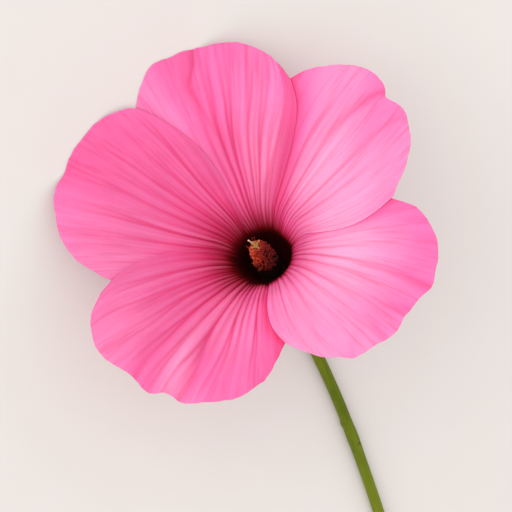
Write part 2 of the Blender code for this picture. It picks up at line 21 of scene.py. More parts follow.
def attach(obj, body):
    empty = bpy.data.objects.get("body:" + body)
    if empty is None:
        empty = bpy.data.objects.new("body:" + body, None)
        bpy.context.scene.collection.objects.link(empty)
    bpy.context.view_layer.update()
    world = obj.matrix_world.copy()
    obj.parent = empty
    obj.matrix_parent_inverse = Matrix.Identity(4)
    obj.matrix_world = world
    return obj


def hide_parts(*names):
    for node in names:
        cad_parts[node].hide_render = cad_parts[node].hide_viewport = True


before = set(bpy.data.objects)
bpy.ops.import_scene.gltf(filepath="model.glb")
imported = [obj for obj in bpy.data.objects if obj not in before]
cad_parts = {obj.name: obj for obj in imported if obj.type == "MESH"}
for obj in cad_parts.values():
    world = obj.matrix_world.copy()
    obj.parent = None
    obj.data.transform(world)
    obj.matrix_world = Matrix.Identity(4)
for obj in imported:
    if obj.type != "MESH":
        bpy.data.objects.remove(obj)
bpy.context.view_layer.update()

LOG = logging.getLogger("rose_mallow")
BODY = "root"
MM = 0.001
DEG = math.pi / 180
FULL_TURN = 2 * math.pi
PATTERN_UNIT = 100 * MM
MERGE_DISTANCE = 0.001 * MM
NOISE_RANGE = (0.3, 0.7)
CURVE_STEPS = 60
RIPPLE_HEIGHT = 1.8
COLUMN_HEIGHT = 26.5 * MM
COLUMN_LEAN = Vector((-1.1, -0.7, 0.0)) * MM

Array = np.ndarray
Colour = tuple[float, float, float, float]
Curve = tuple[tuple[float, float], ...]
Material = bpy.types.Material
Node = bpy.types.Node
Piece = bpy.types.Object
Shape = bmesh.types.BMesh
Socket = bpy.types.NodeSocket
Stops = tuple[tuple[float, Colour], ...]
Vert = bmesh.types.BMVert


class Slot(Enum):
    """Material slots of the record."""

    PETAL = "petal"
    CALYX = "calyx"
    EPICALYX = "epicalyx"
    COLUMN = "column"
    PISTIL = "pistil"
    STEM = "stem"


def ease(value: Array | float) -> Array | float:
    """Ease from 0 to 1 as value goes from 0 to 1."""
    x = np.clip(value, 0.0, 1.0)
    return x * x * (3 - 2 * x)


def rise(value: Array | float, start: float, run: float) -> Array | float:
    """Ease from 0 at start to 1 at a run past it."""
    return ease((value - start) / run)


def bell(away: Array, width: Array | float) -> Array:
    """Bell of height 1, for a distance from its middle."""
    return np.exp(-(away / width) ** 2)


def blend(start: Array | float, end: Array | float, share: Array | float) -> Array | float:
    """Value that lies a share of the way from start to end."""
    return start + (end - start) * share


def stations_of(knots: Array) -> Array:
    """Place of each knot along a line through all of them, from 0 to 1."""
    spans = np.linalg.norm(np.diff(knots, axis=0), axis=1)
    return np.concatenate([[0.0], np.cumsum(spans)]) / spans.sum()


def smooth_curve(points: Curve | Array, places: Array) -> Array:
    """Read a smooth curve through points, at places from 0 to 1 along it."""
    knots = np.array(points, dtype=float)
    stations = stations_of(knots)
    slopes = np.gradient(knots, stations, axis=0)
    places = np.clip(np.asarray(places, dtype=float), 0.0, 1.0)
    index = np.clip(np.searchsorted(stations, places, side="right") - 1, 0, len(knots) - 2)
    width = stations[index + 1] - stations[index]
    x = ((places - stations[index]) / width)[..., None]
    width = width[..., None]
    start = knots[index] * (2 * x**3 - 3 * x**2 + 1) + slopes[index] * width * (x**3 - 2 * x**2 + x)
    end = knots[index + 1] * (3 * x**2 - 2 * x**3) + slopes[index + 1] * width * (x**3 - x**2)
    return start + end


def read_off(points: Curve, value: Array) -> Array:
    """Read the second number of a smooth curve at values of its first number."""
    curve = smooth_curve(points, np.linspace(0.0, 1.0, CURVE_STEPS))
    return np.interp(value, curve[:, 0], curve[:, 1])


def level_at(points: Curve, value: Array) -> Array:
    """Read the second number of points at values of their first number, eased between them."""
    at, level = np.array(points, dtype=float).T
    index = np.clip(np.searchsorted(at, value, side="right") - 1, 0, len(at) - 2)
    return blend(level[index], level[index + 1], rise(value, at[index], at[index + 1] - at[index]))


def ripple(seed: int, places: Array, waves: float, layers: int = 5) -> Array:
    """Smooth random wave of about -1 to 1, in layers that get finer and lower.

    Args:
        seed: Seed of the layers' phases.
        places: Places to read the wave at, from 0 to 1.
        waves: Waves in the first and slowest layer.
        layers: Number of layers.

    Returns:
        A height for each place.
    """
    draw = np.random.default_rng(seed)
    height = np.zeros_like(places)
    for layer in range(1, layers + 1):
        height = height + np.sin(FULL_TURN * waves * layer * places + draw.uniform(0, FULL_TURN)) / layer
    return height / RIPPLE_HEIGHT


@dataclass
class Graph:
    """Short way to make and join shader nodes in one tree, for a group or a material."""

    tree: bpy.types.NodeTree
    material: Material | None = None
    shader: Node | None = None

    def node(self, kind: str, **settings: object) -> Node:
        """Add a node and set its properties."""
        made = self.tree.nodes.new(kind)
        for setting, value in settings.items():
            setattr(made, setting, value)
        return made

    def feed(self, socket: Socket, value: object) -> None:
        """Join a socket to another one, or set its value."""
        if isinstance(value, bpy.types.NodeSocket):
            self.tree.links.new(value, socket)
        else:
            socket.default_value = value

    def add(self, kind: str, inputs: dict, output: int | str = 0, **settings: object) -> Socket:
        """Add a node, feed its inputs and give back one of its outputs."""
        made = self.node(kind, **settings)
        for key, value in inputs.items():
            self.feed(made.inputs[key], value)
        return made.outputs[output]

    def math(self, operation: str, *values: object) -> Socket:
        """Put values through a Math node."""
        return self.add("ShaderNodeMath", dict(enumerate(values)), operation=operation)

    def times(self, first: object, *others: object) -> Socket:
        """Multiply values."""
        for other in others:
            first = self.math("MULTIPLY", first, other)
        return first

    def span(self, value: object, low: float, high: float, start: float = 0.0, end: float = 1.0) -> Socket:
        """Map the range from low to high smoothly onto the range from start to end."""
        values = dict(enumerate((value, low, high, start, end)))
        return self.add("ShaderNodeMapRange", values, interpolation_type="SMOOTHSTEP")

    def tint(self, ground: object, tone: object, *shares: object) -> Socket:
        """Mix a tone into a ground, by the product of shares."""
        colours = {0: self.times(*shares), 6: ground, 7: tone}
        return self.add("ShaderNodeMix", colours, 2, data_type="RGBA")

    def brighten(self, colour: Socket, value: Socket) -> Socket:
        """Scale a colour's brightness."""
        return self.add("ShaderNodeHueSaturation", {"Value": value, "Color": colour})

    def ramp(self, value: Socket, stops: Stops) -> Socket:
        """Read a colour from stops, each a place and a colour."""
        made = self.node("ShaderNodeValToRGB")
        elements = made.color_ramp.elements
        while len(elements) < len(stops):
            elements.new(1.0)
        for element, (place, colour) in zip(elements, stops):
            element.position = place
            element.color = colour
        self.feed(made.inputs[0], value)
        return made.outputs[0]

    def noise(self, where: Socket, scale: object, rough: float) -> Socket:
        """Noise of 0 to 1 at a place."""
        inputs = {"Vector": where, "Scale": scale, "Detail": 3.0, "Roughness": rough}
        return self.add("ShaderNodeTexNoise", inputs)

    def pattern(self) -> tuple[Socket, Socket]:
        """Pattern coordinates across and along the piece."""
        source = self.add("ShaderNodeUVMap", {}, uv_map="pattern")
        parts = self.node("ShaderNodeSeparateXYZ")
        self.feed(parts.inputs[0], source)
        return parts.outputs[0], parts.outputs[1]

    def mark(self, name: str) -> Socket:
        """A mask that is kept on the piece's points."""
        return self.add("ShaderNodeAttribute", {}, "Fac", attribute_name=name)

    def group(self, tree: bpy.types.NodeTree, **values: object) -> bpy.types.bpy_prop_collection:
        """Add a shared group with this material's values, and give back its outputs."""
        made = self.node("ShaderNodeGroup", node_tree=tree)
        for name, value in values.items():
            self.feed(made.inputs[name], value)
        return made.outputs


class Effects:
    """Shader node groups that several finishes share, each built once."""

    def __init__(self) -> None:
        """Build the groups: grain of plant tissue, and streaks that run along a piece's pattern."""
        graph, given, out = self._start("tissue_grain", ("Cells", "Blotches"), ("Tone", "Relief"))
        place = graph.add("ShaderNodeTexCoord", {}, "Object")
        cells = graph.noise(place, given["Cells"], 0.6)
        blotches = graph.noise(place, given["Blotches"], 0.55)
        graph.feed(out["Tone"], graph.math("MULTIPLY_ADD", cells, 0.3, graph.times(blotches, 0.7)))
        graph.feed(out["Relief"], cells)
        self.grain = graph.tree

        graph, given, out = self._start("tissue_streaks", ("Across", "Along", "Seed"), ("Streak",))
        across, along = graph.pattern()
        parts = (graph.times(across, given["Across"]), graph.times(along, given["Along"]), given["Seed"])
        spot = graph.add("ShaderNodeCombineXYZ", dict(enumerate(parts)))
        graph.feed(out["Streak"], graph.noise(spot, 1.0, 0.55))
        self.streaks = graph.tree

    @staticmethod
    def _start(name: str, inputs: tuple[str, ...], outputs: tuple[str, ...]) -> tuple:
        """Start a group with float sockets, and give back its graph, its inputs and its outputs."""
        tree = bpy.data.node_groups.new(name, "ShaderNodeTree")
        for way, sockets in (("INPUT", inputs), ("OUTPUT", outputs)):
            for socket in sockets:
                tree.interface.new_socket(socket, in_out=way, socket_type="NodeSocketFloat")
        graph = Graph(tree)
        return graph, graph.node("NodeGroupInput").outputs, graph.node("NodeGroupOutput").inputs


@dataclass(frozen=True)
class Finish:
    """Ground that every finish shares."""

    effects: Effects
    relief: float = 0.12 * MM

    @staticmethod
    def start(name: str, **constants: object) -> Graph:
        """Start a material, with constants for its shader's sockets, spaces as underscores."""
        material = bpy.data.materials.new(name + "_finish")
        material.use_nodes = True
        material.node_tree.nodes.clear()
        graph = Graph(material.node_tree, material)
        graph.shader = graph.node("ShaderNodeBsdfPrincipled")
        graph.feed(graph.node("ShaderNodeOutputMaterial").inputs["Surface"], graph.shader.outputs[0])
        for constant, value in constants.items():
            graph.shader.inputs[constant.replace("_", " ")].default_value = value
        return graph

    def done(self, graph: Graph, ground: Socket, rough: Socket, height: Socket) -> Material:
        """Feed a colour, a roughness and a relief to the shader, and give back the material."""
        bump = {"Strength": 1.0, "Distance": self.relief, "Height": height}
        normal = graph.add("ShaderNodeBump", bump)
        for name, value in (("Base Color", ground), ("Roughness", rough), ("Normal", normal)):
            graph.feed(graph.shader.inputs[name], value)
        return graph.material


@dataclass(frozen=True)
class PetalFinish(Finish):
    """Soft pink petal tissue round a dark eye, with crimson veins, painted highlights on the ridges between
    them and painted shade in the valleys.

    Attributes:
        tones: Colours at places past the inner edge of the flush, in tenths of a metre.
        fine, broad: Streaks' scale across and along the petal, with their seed.
        eye_run, clear_run, vein_run, late_vein_run: Places past the flush's inner edge between
            which the eye's uneven edge, the marks and the veins' two later tones come in.
        far_run, rim_run: Places along the petal between which marks fade and streaks grow.
    """

    tones: Stops = (
        (0.0, (0.022, 0.001, 0.001, 1)),
        (0.024, (0.085, 0.002, 0.003, 1)),
        (0.041, (0.17, 0.003, 0.007, 1)),
        (0.060, (0.29, 0.0045, 0.022, 1)),
        (0.083, (0.375, 0.0105, 0.048, 1)),
        (0.105, (0.45, 0.0195, 0.082, 1)),
        (0.135, (0.56, 0.040, 0.14, 1)),
        (0.160, (0.64, 0.063, 0.20, 1)),
        (0.235, (0.74, 0.110, 0.30, 1)),
        (0.320, (0.76, 0.140, 0.35, 1)),
        (0.415, (0.78, 0.155, 0.375, 1)),
        (0.500, (0.81, 0.160, 0.39, 1)),
        (0.730, (0.93, 0.190, 0.47, 1)),
    )
    pale_tone: Colour = (0.98, 0.46, 0.71, 1)
    deep_tone: Colour = (0.78, 0.045, 0.18, 1)
    first_vein_tone: Colour = (0.20, 0.002, 0.018, 1)
    vein_tone: Colour = (0.44, 0.006, 0.060, 1)
    late_vein_tone: Colour = (0.67, 0.028, 0.14, 1)
    fine: tuple[float, float, float] = (95.0, 4.0, 1.0)
    broad: tuple[float, float, float] = (30.0, 2.0, 5.0)
    vein_share: float = 0.75
    valley_shade_share: float = 0.24
    ridge_highlight_share: float = 0.14
    streak_share: float = 0.27
    rim_streak_share: float = 0.35
    far_share: float = 0.3
    valley_shade_width: float = 0.3
    eye_run: tuple[float, float] = (0.0, 0.08)
    clear_run: tuple[float, float] = (0.02, 0.10)
    vein_run: tuple[float, float] = (0.05, 0.14)
    late_vein_run: tuple[float, float] = (0.12, 0.26)
    far_run: tuple[float, float] = (0.28, 0.7)
    rim_run: tuple[float, float] = (0.5, 0.85)
    fine_range: tuple[float, float] = (0.42, 0.7)
    broad_range: tuple[float, float] = (0.35, 0.6)
    relief: float = 0.35 * MM

    def material(self, name: str, plan: "PetalPlan") -> Material:
        """Make the finish of one petal, from its plan's seed and how strongly it is marked."""
        graph = self.start(
            name, Specular_IOR_Level=0.03, Subsurface_Weight=0.3, Subsurface_Scale=0.4 * MM,
            Subsurface_Radius=(1.0, 0.3, 0.4),
        )
        fine, broad = (
            graph.group(self.effects.streaks, Across=across, Along=along, Seed=seed + plan.seed)["Streak"]
            for across, along, seed in (self.fine, self.broad)
        )
        grain = graph.group(self.effects.grain, Cells=1400.0, Blotches=60.0)
        vein, ridge, past, pale_and_painted_light = (graph.mark(mark) for mark in ("vein", "ridge", "flush", "pale_and_painted_light"))
        _, along = graph.pattern()
        uneven = graph.math("MULTIPLY_ADD", broad, 0.04, graph.times(ridge, 0.02))
        uneven = graph.times(graph.math("SUBTRACT", uneven, 0.025), graph.span(past, *self.eye_run))
        place = graph.math("ADD", past, uneven)
        clear = graph.span(place, *self.clear_run)
        # The paleness mark is partly the petal's own tone and partly painted light and shade: paler towards
        # the key light, deeper beside covering edges and in fold valleys.
        ground = graph.tint(graph.ramp(place, self.tones), self.pale_tone, pale_and_painted_light)
        ground = graph.tint(ground, self.deep_tone, pale_and_painted_light, -1.0)
        fading = graph.span(along, *self.far_run, plan.marked, self.far_share * plan.marked)
        fading = graph.times(fading, clear)
        # Painted highlight on the ridges between the veins, and painted shade in the valleys beside them.
        ground = graph.tint(ground, self.pale_tone, ridge, fading, self.ridge_highlight_share)
        valley_shade = graph.span(ridge, 0.0, self.valley_shade_width, self.valley_shade_share, 0.0)
        ground = graph.tint(ground, self.deep_tone, valley_shade, fading)
        vein_tone = graph.tint(self.first_vein_tone, self.vein_tone, graph.span(past, *self.vein_run))
        vein_tone = graph.tint(vein_tone, self.late_vein_tone, graph.span(past, *self.late_vein_run))
        stripe = graph.times(graph.span(fine, *self.fine_range), graph.span(broad, *self.broad_range), clear)
        share = graph.span(along, *self.rim_run, self.streak_share, self.rim_streak_share)
        ground = graph.tint(ground, vein_tone, stripe, share)
        # The vein mark also carries painted shade along the folds' creases and on the turned lead strip.
        ground = graph.tint(ground, vein_tone, vein, clear, self.vein_share * plan.marked)
        ground = graph.brighten(ground, graph.span(grain["Tone"], *NOISE_RANGE, 0.96, 1.04))
        height = graph.math("MULTIPLY_ADD", vein, -0.4, graph.times(fine, 0.35))
        return self.done(graph, ground, graph.span(fine, *NOISE_RANGE, 0.62, 0.74), height)


@dataclass(frozen=True)
class GreenFinish(Finish):
    """Downy green of the calyx and its bracts, paler on the ribs."""

    ground: Colour = (0.165, 0.235, 0.035, 1)
    shade: Colour = (0.085, 0.145, 0.018, 1)
    rib: Colour = (0.30, 0.38, 0.10, 1)
    down: Colour = (0.42, 0.47, 0.26, 1)
    relief: float = 0.18 * MM

    def material(self, name: str) -> Material:
        """Make the finish of one green piece."""
        graph = self.start(
            name, Specular_IOR_Level=0.3, Sheen_Weight=0.35, Sheen_Roughness=0.6,
            Subsurface_Weight=0.12, Subsurface_Scale=1.0 * MM,
        )
        grain = graph.group(self.effects.grain, Cells=2600.0, Blotches=140.0)
        streak = graph.group(self.effects.streaks, Across=90.0, Along=9.0, Seed=2.0)["Streak"]
        ground = graph.tint(self.shade, self.ground, graph.span(grain["Tone"], *NOISE_RANGE))
        ground = graph.tint(ground, self.rib, graph.mark("rib"), 0.7)
        ground = graph.tint(ground, self.down, graph.span(grain["Relief"], 0.56, 0.72), 0.4)
        height = graph.math("MULTIPLY_ADD", streak, 0.6, grain["Relief"])
        return self.done(graph, ground, graph.span(streak, *NOISE_RANGE, 0.6, 0.8), height)


@dataclass(frozen=True)
class StemFinish(Finish):
    """Satin olive green with streaks, and light yellow-green pith at the cut."""

    ground: Colour = (0.125, 0.168, 0.001, 1)
    shade: Colour = (0.078, 0.115, 0.001, 1)
    light: Colour = (0.20, 0.24, 0.012, 1)
    brown: Colour = (0.045, 0.035, 0.004, 1)
    rind: Colour = (0.22, 0.30, 0.06, 1)
    pith: Colour = (0.62, 0.66, 0.36, 1)

    def material(self, name: str) -> Material:
        """Make the stem's finish."""
        graph = self.start(
            name, Specular_IOR_Level=0.12, Subsurface_Weight=0.1, Subsurface_Scale=1.0 * MM,
            Sheen_Weight=0.22, Sheen_Roughness=0.4, Sheen_Tint=(0.75, 0.8, 0.45, 1),
        )
        grain = graph.group(self.effects.grain, Cells=1800.0, Blotches=90.0)
        streak = graph.group(self.effects.streaks, Across=40.0, Along=5.0, Seed=3.0)["Streak"]
        _, along = graph.pattern()
        cut = graph.mark("cut")
        ground = graph.tint(self.shade, self.ground, graph.span(grain["Tone"], *NOISE_RANGE))
        ground = graph.tint(ground, self.light, graph.span(streak, 0.45, 0.7), 0.6)
        ground = graph.tint(ground, self.light, graph.span(along, 0.75, 1.4, 0.0, 0.5))
        ground = graph.tint(ground, self.brown, graph.mark("scar"))
        ground = graph.tint(ground, self.rind, graph.span(cut, 0.1, 0.4))
        ground = graph.tint(ground, self.pith, graph.span(cut, 0.5, 0.95))
        height = graph.math("MULTIPLY_ADD", grain["Relief"], 0.5, streak)
        return self.done(graph, ground, graph.span(streak, *NOISE_RANGE, 0.42, 0.6), height)


@dataclass(frozen=True)
class ColumnFinish(Finish):
    """Dark red tube with paler filaments and grainy brick-red anthers."""

    tones: Stops = (
        (0.0, (0.016, 0.001, 0.001, 1)),
        (0.25, (0.12, 0.006, 0.004, 1)),
        (0.5, (0.24, 0.016, 0.006, 1)),
        (0.75, (0.48, 0.045, 0.015, 1)),
        (1.0, (0.78, 0.15, 0.06, 1)),
    )
    pollen: Colour = (0.82, 0.20, 0.07, 1)
    relief: float = 0.2 * MM

    def material(self, name: str) -> Material:
        """Make the finish of the column and its stamens."""
        graph = self.start(
            name, Specular_IOR_Level=0.25, Subsurface_Weight=0.08, Subsurface_Scale=0.5 * MM,
        )
        cells = graph.group(self.effects.grain, Cells=3600.0, Blotches=500.0)["Relief"]
        # The tone mark carries the anthers' painted shade, darker low in the throat and away from the key
        # light.
        tone = graph.mark("tone")
        grains = graph.times(graph.span(cells, 0.5, 0.66), graph.span(tone, 0.5, 0.9))
        ground = graph.tint(graph.ramp(tone, self.tones), self.pollen, grains, 0.6)
        return self.done(graph, ground, graph.span(cells, *NOISE_RANGE, 0.6, 0.85), cells)


@dataclass(frozen=True)
class PistilFinish(Finish):
    """Waxy yellow-green style with velvety stigmas."""

    tones: Stops = (
        (0.0, (0.30, 0.15, 0.028, 1)),
        (0.3, (0.38, 0.22, 0.045, 1)),
        (0.7, (0.56, 0.33, 0.17, 1)),
        (1.0, (0.88, 0.68, 0.62, 1)),
    )

    def material(self, name: str) -> Material:
        """Make the finish of the pistil."""
        graph = self.start(
            name, Specular_IOR_Level=0.35, Subsurface_Weight=0.2, Subsurface_Scale=0.8 * MM,
        )
        grain = graph.group(self.effects.grain, Cells=3200.0, Blotches=420.0)
        ground = graph.ramp(graph.mark("tone"), self.tones)
        ground = graph.brighten(ground, graph.span(grain["Tone"], *NOISE_RANGE, 0.75, 1.1))
        rough = graph.span(grain["Relief"], *NOISE_RANGE, 0.4, 0.65)
        return self.done(graph, ground, rough, grain["Relief"])


@dataclass
class Lattice:
    """Grid of points that becomes a smooth mesh.

    Attributes:
        name: The piece's name.
        places: Points of shape (rows, columns, 3).
        across: Pattern coordinate across the piece, for each point.
        along: Pattern coordinate along the piece, for each point.
        marks: Named masks, each with one value for each point.
        around: Whether the last column meets the first one.
    """

    name: str
    places: Array
    across: Array
    along: Array
    marks: dict[str, Array]
    around: bool = False

    def build(self) -> Piece:
        """Make the grid, put its points in place and give it its pattern coordinates."""
        rows, columns = self.places.shape[0] - 1, self.places.shape[1] - 1
        shape = bmesh.new()
        bmesh.ops.create_grid(shape, x_segments=columns, y_segments=rows, size=0.5)
        mesh = mesh_from(self.name, shape)
        spots = np.zeros(len(mesh.vertices) * 3)
        mesh.vertices.foreach_get("co", spots)
        spots = spots.reshape(-1, 3)
        column = np.rint((spots[:, 0] + 0.5) * columns).astype(int)
        row = np.rint((spots[:, 1] + 0.5) * rows).astype(int)
        mesh.vertices.foreach_set("co", self.places[row, column].ravel())
        corners = np.zeros(len(mesh.loops), dtype=int)
        mesh.loops.foreach_get("vertex_index", corners)
        pattern = np.stack([self.across[row, column][corners], self.along[row, column][corners]], axis=1)
        mesh.uv_layers.new(name="pattern").data.foreach_set("uv", pattern.ravel())
        for mark, values in self.marks.items():
            layer = mesh.attributes.new(mark, "FLOAT", "POINT")
            layer.data.foreach_set("value", values[row, column].astype(np.float32))
        if self.around:
            shape = bmesh.new()
            shape.from_mesh(mesh)
            bmesh.ops.remove_doubles(shape, verts=shape.verts, dist=MERGE_DISTANCE)
            bmesh.ops.recalc_face_normals(shape, faces=shape.faces)
            shape.to_mesh(mesh)
            shape.free()
        return put(mesh)


def mesh_from(name: str, shape: Shape) -> bpy.types.Mesh:
    """Turn a bmesh into a smooth mesh."""
    mesh = bpy.data.meshes.new(name)
    shape.to_mesh(mesh)
    shape.free()
    mesh.shade_smooth()
    return mesh


def put(data: bpy.types.ID) -> Piece:
    """Put a mesh, a light or a camera in the scene as an object of the same name, at the origin."""
    item = bpy.data.objects.new(data.name, data)
    bpy.context.scene.collection.objects.link(item)
    return item


def settle(piece: Piece, node: str, finish: Material) -> None:
    """Finish a piece, let it stand for its node and ride on the flower.

    Args:
        piece: The new piece, in place.
        node: The frame's node that the piece replaces.
        finish: The piece's material.
    """
    piece.data.materials.clear()
    piece.data.materials.append(finish)
    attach(piece, BODY)
    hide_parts(node)
    LOG.info("%s: %d faces", piece.name, len(piece.data.polygons))


def thicken(piece: Piece, thickness: float) -> bpy.types.Modifier:
    """Give a sheet an even thickness to both sides."""
    solid = piece.modifiers.new("Flesh", "SOLIDIFY")
    solid.thickness = thickness
    solid.offset = 0.0
    return solid


@dataclass(frozen=True)
class Bloom:
    """Where the bloom lies: the frame of its axis, with the petals' claws at its origin."""

    lean: float = 46.8 * DEG
    low_side: float = 136.0 * DEG
    heading: float = 131.2 * DEG
    claws: Vector = field(default_factory=lambda: Vector((6.748 * MM, 34.32 * MM, 12.6 * MM)))

    def matrix(self) -> Matrix:
        """Placement of the upright bloom on the surface."""
        turn = Matrix.Rotation(self.heading, 4, "Z") @ Matrix.Rotation(self.lean, 4, "Y")
        return Matrix.Translation(self.claws) @ turn @ Matrix.Rotation(-self.low_side, 4, "Z")

    def placed(self, places: Array) -> Array:
        """Points of the upright bloom, moved to where they lie."""
        matrix = np.array(self.matrix())
        return places @ matrix[:3, :3].T + matrix[:3, 3]

    def lay(self, name: str, shape: Shape) -> Piece:
        """Turn the closed bmesh of an upright part into a piece that lies in its place."""
        bmesh.ops.transform(shape, matrix=self.matrix(), verts=shape.verts)
        bmesh.ops.recalc_face_normals(shape, faces=shape.faces)
        return put(mesh_from(name, shape))


@dataclass
class Funnel:
    """Turned surface that the petals and the calyx follow, measured along its slope."""

    claw_radius: float = 5.8 * MM
    throat_angle: float = 12.0 * DEG
    limb_angle: float = 57.0 * DEG
    lip_length: float = 13.0 * MM
    lip_run: float = 9.0 * MM
    flare_angle: float = 8.0 * DEG
    flare_start: float = 60.0 * MM
    flare_run: float = 30.0 * MM
    bulge: float = 1.9 * MM
    bulge_rise: float = 9.0 * MM
    bulge_fall: float = 22.0 * MM
    reach: float = 105.0 * MM
    step: float = 0.25 * MM
    stack_at_claw: float = 1.15 * MM
    stack_at_rim: float = 2.7 * MM
    petal_length: float = 95.0 * MM

    def __post_init__(self) -> None:
        """Work out the slope, radius and height at each step."""
        self.length = np.arange(0.0, self.reach, self.step)
        bend = ease((self.length - (self.lip_length - self.lip_run / 2)) / self.lip_run)
        flare = np.clip((self.length - self.flare_start) / self.flare_run, 0.0, None) ** 2
        self.slope = blend(self.throat_angle, self.limb_angle, bend) + self.flare_angle * flare
        fall = 1 - rise(self.length, self.bulge_rise, self.bulge_fall)
        bulge = self.bulge * (ease(self.length / self.bulge_rise) * fall)
        self.radius = self.claw_radius + self._summed(np.sin(self.slope)) + bulge
        self.height = self._summed(np.cos(self.slope))

    def _summed(self, rate: Array) -> Array:
        """Add up a rate along the slope."""
        steps = (rate[1:] + rate[:-1]) / 2 * self.step
        return np.concatenate([[0.0], np.cumsum(steps)])

    def radius_at(self, length: Array) -> Array:
        """Distance from the axis at a length up the slope."""
        return np.interp(length, self.length, self.radius)

    def stack_step(self, length: Array) -> Array:
        """Distance from one petal to the next where they overlap."""
        return blend(self.stack_at_claw, self.stack_at_rim, np.clip(length / self.petal_length, 0, 1))

    def points(self, length: Array, angle: Array, lift: Array) -> Array:
        """Points at a length up the slope and an angle, lifted towards the viewer."""
        slope = np.interp(length, self.length, self.slope)
        radius = self.radius_at(length) - lift * np.cos(slope)
        height = np.interp(length, self.length, self.height) + lift * np.sin(slope)
        return np.stack([radius * np.cos(angle), radius * np.sin(angle), height], axis=-1)


@dataclass(frozen=True)
class Fold:
    """A fold that runs along a petal, as a valley or, with height above 0, a ridge.

    Attributes:
        path: Its course, as rows from 0 at the claw to 1 at the rim, with the column at each.
        height: Height at its deepest or highest, in millimetres.
        lead_width: Width of its slope on the lead side, in millimetres.
        trail_width: Width of its slope on the trail side, in millimetres.
        start: Row where it starts.
        full: Row from which it has its full height.
        crease_shade: How dark the painted shade along its line is.
    """

    path: Curve
    height: float
    lead_width: float
    trail_width: float
    start: float
    full: float
    crease_shade: float = 0.0


@dataclass(frozen=True)
class PetalPlan:
    """Outline and surface of one petal. Columns go from 0 at the lead edge to 1 at the trail edge.

    Attributes:
        node: The frame's node that the petal stands for.
        lead: Edge that lies on top of the next petal, from the claw outwards.
        trail: Edge that the petal before it covers.
        rim: Outer edge, from the end of lead to the end of trail.
        waves: Slow ruffles along the rim.
        phase: Place of the first ruffle.
        veins: Main veins, each with its column at row 0.6, its strength and the row it reaches.
        bow: How far the veins swing from those columns, as rows with the swing at each.
        bow_run: Columns between which the swing grows to its full size.
        seed: Seed of the petal's own random draws.
        eye: Length up to which the dark eye reaches, at columns across the petal.
        flush: How fast the crimson round the eye turns to pink, at columns across the petal.
        pale_and_painted_light: How much paler than its ground the middle of the petal is, at columns across
            it, partly its own tone and partly painted light and shade.
        rim_pale_and_painted_light: How much paler, or with less than 0 how much deeper, its rim is, partly
            its own tone and partly painted light and shade.
        pleats: How strongly the petal is ridged between its veins, by its throat and farther out.
        marked: How strongly its veins are coloured, and how strong its ridges' painted highlight and its
            valleys' painted shade are.
        folds: The petal's larger folds.
        contact_shade: Depth of the painted shade beside the petal that covers it, and its width in
            millimetres.
        brim: Width in millimetres of the lead edge's turned strip, and the depth of the painted shade on it.
        lap_end: Angle up to which it lies on the next petal, where both touch the surface.
    """

    node: str
    lead: Curve
    trail: Curve
    rim: Curve
    waves: float
    phase: float
    veins: tuple[tuple[float, float, float], ...]
    bow: Curve
    bow_run: tuple[float, float]
    seed: int
    eye: Curve
    flush: Curve
    pale_and_painted_light: Curve
    rim_pale_and_painted_light: Curve
    pleats: tuple[float, float]
    marked: float
    folds: tuple[Fold, ...]
    contact_shade: tuple[float, float]
    brim: tuple[float, float] = (5.0, 0.0)
    lap_end: float = -90.0


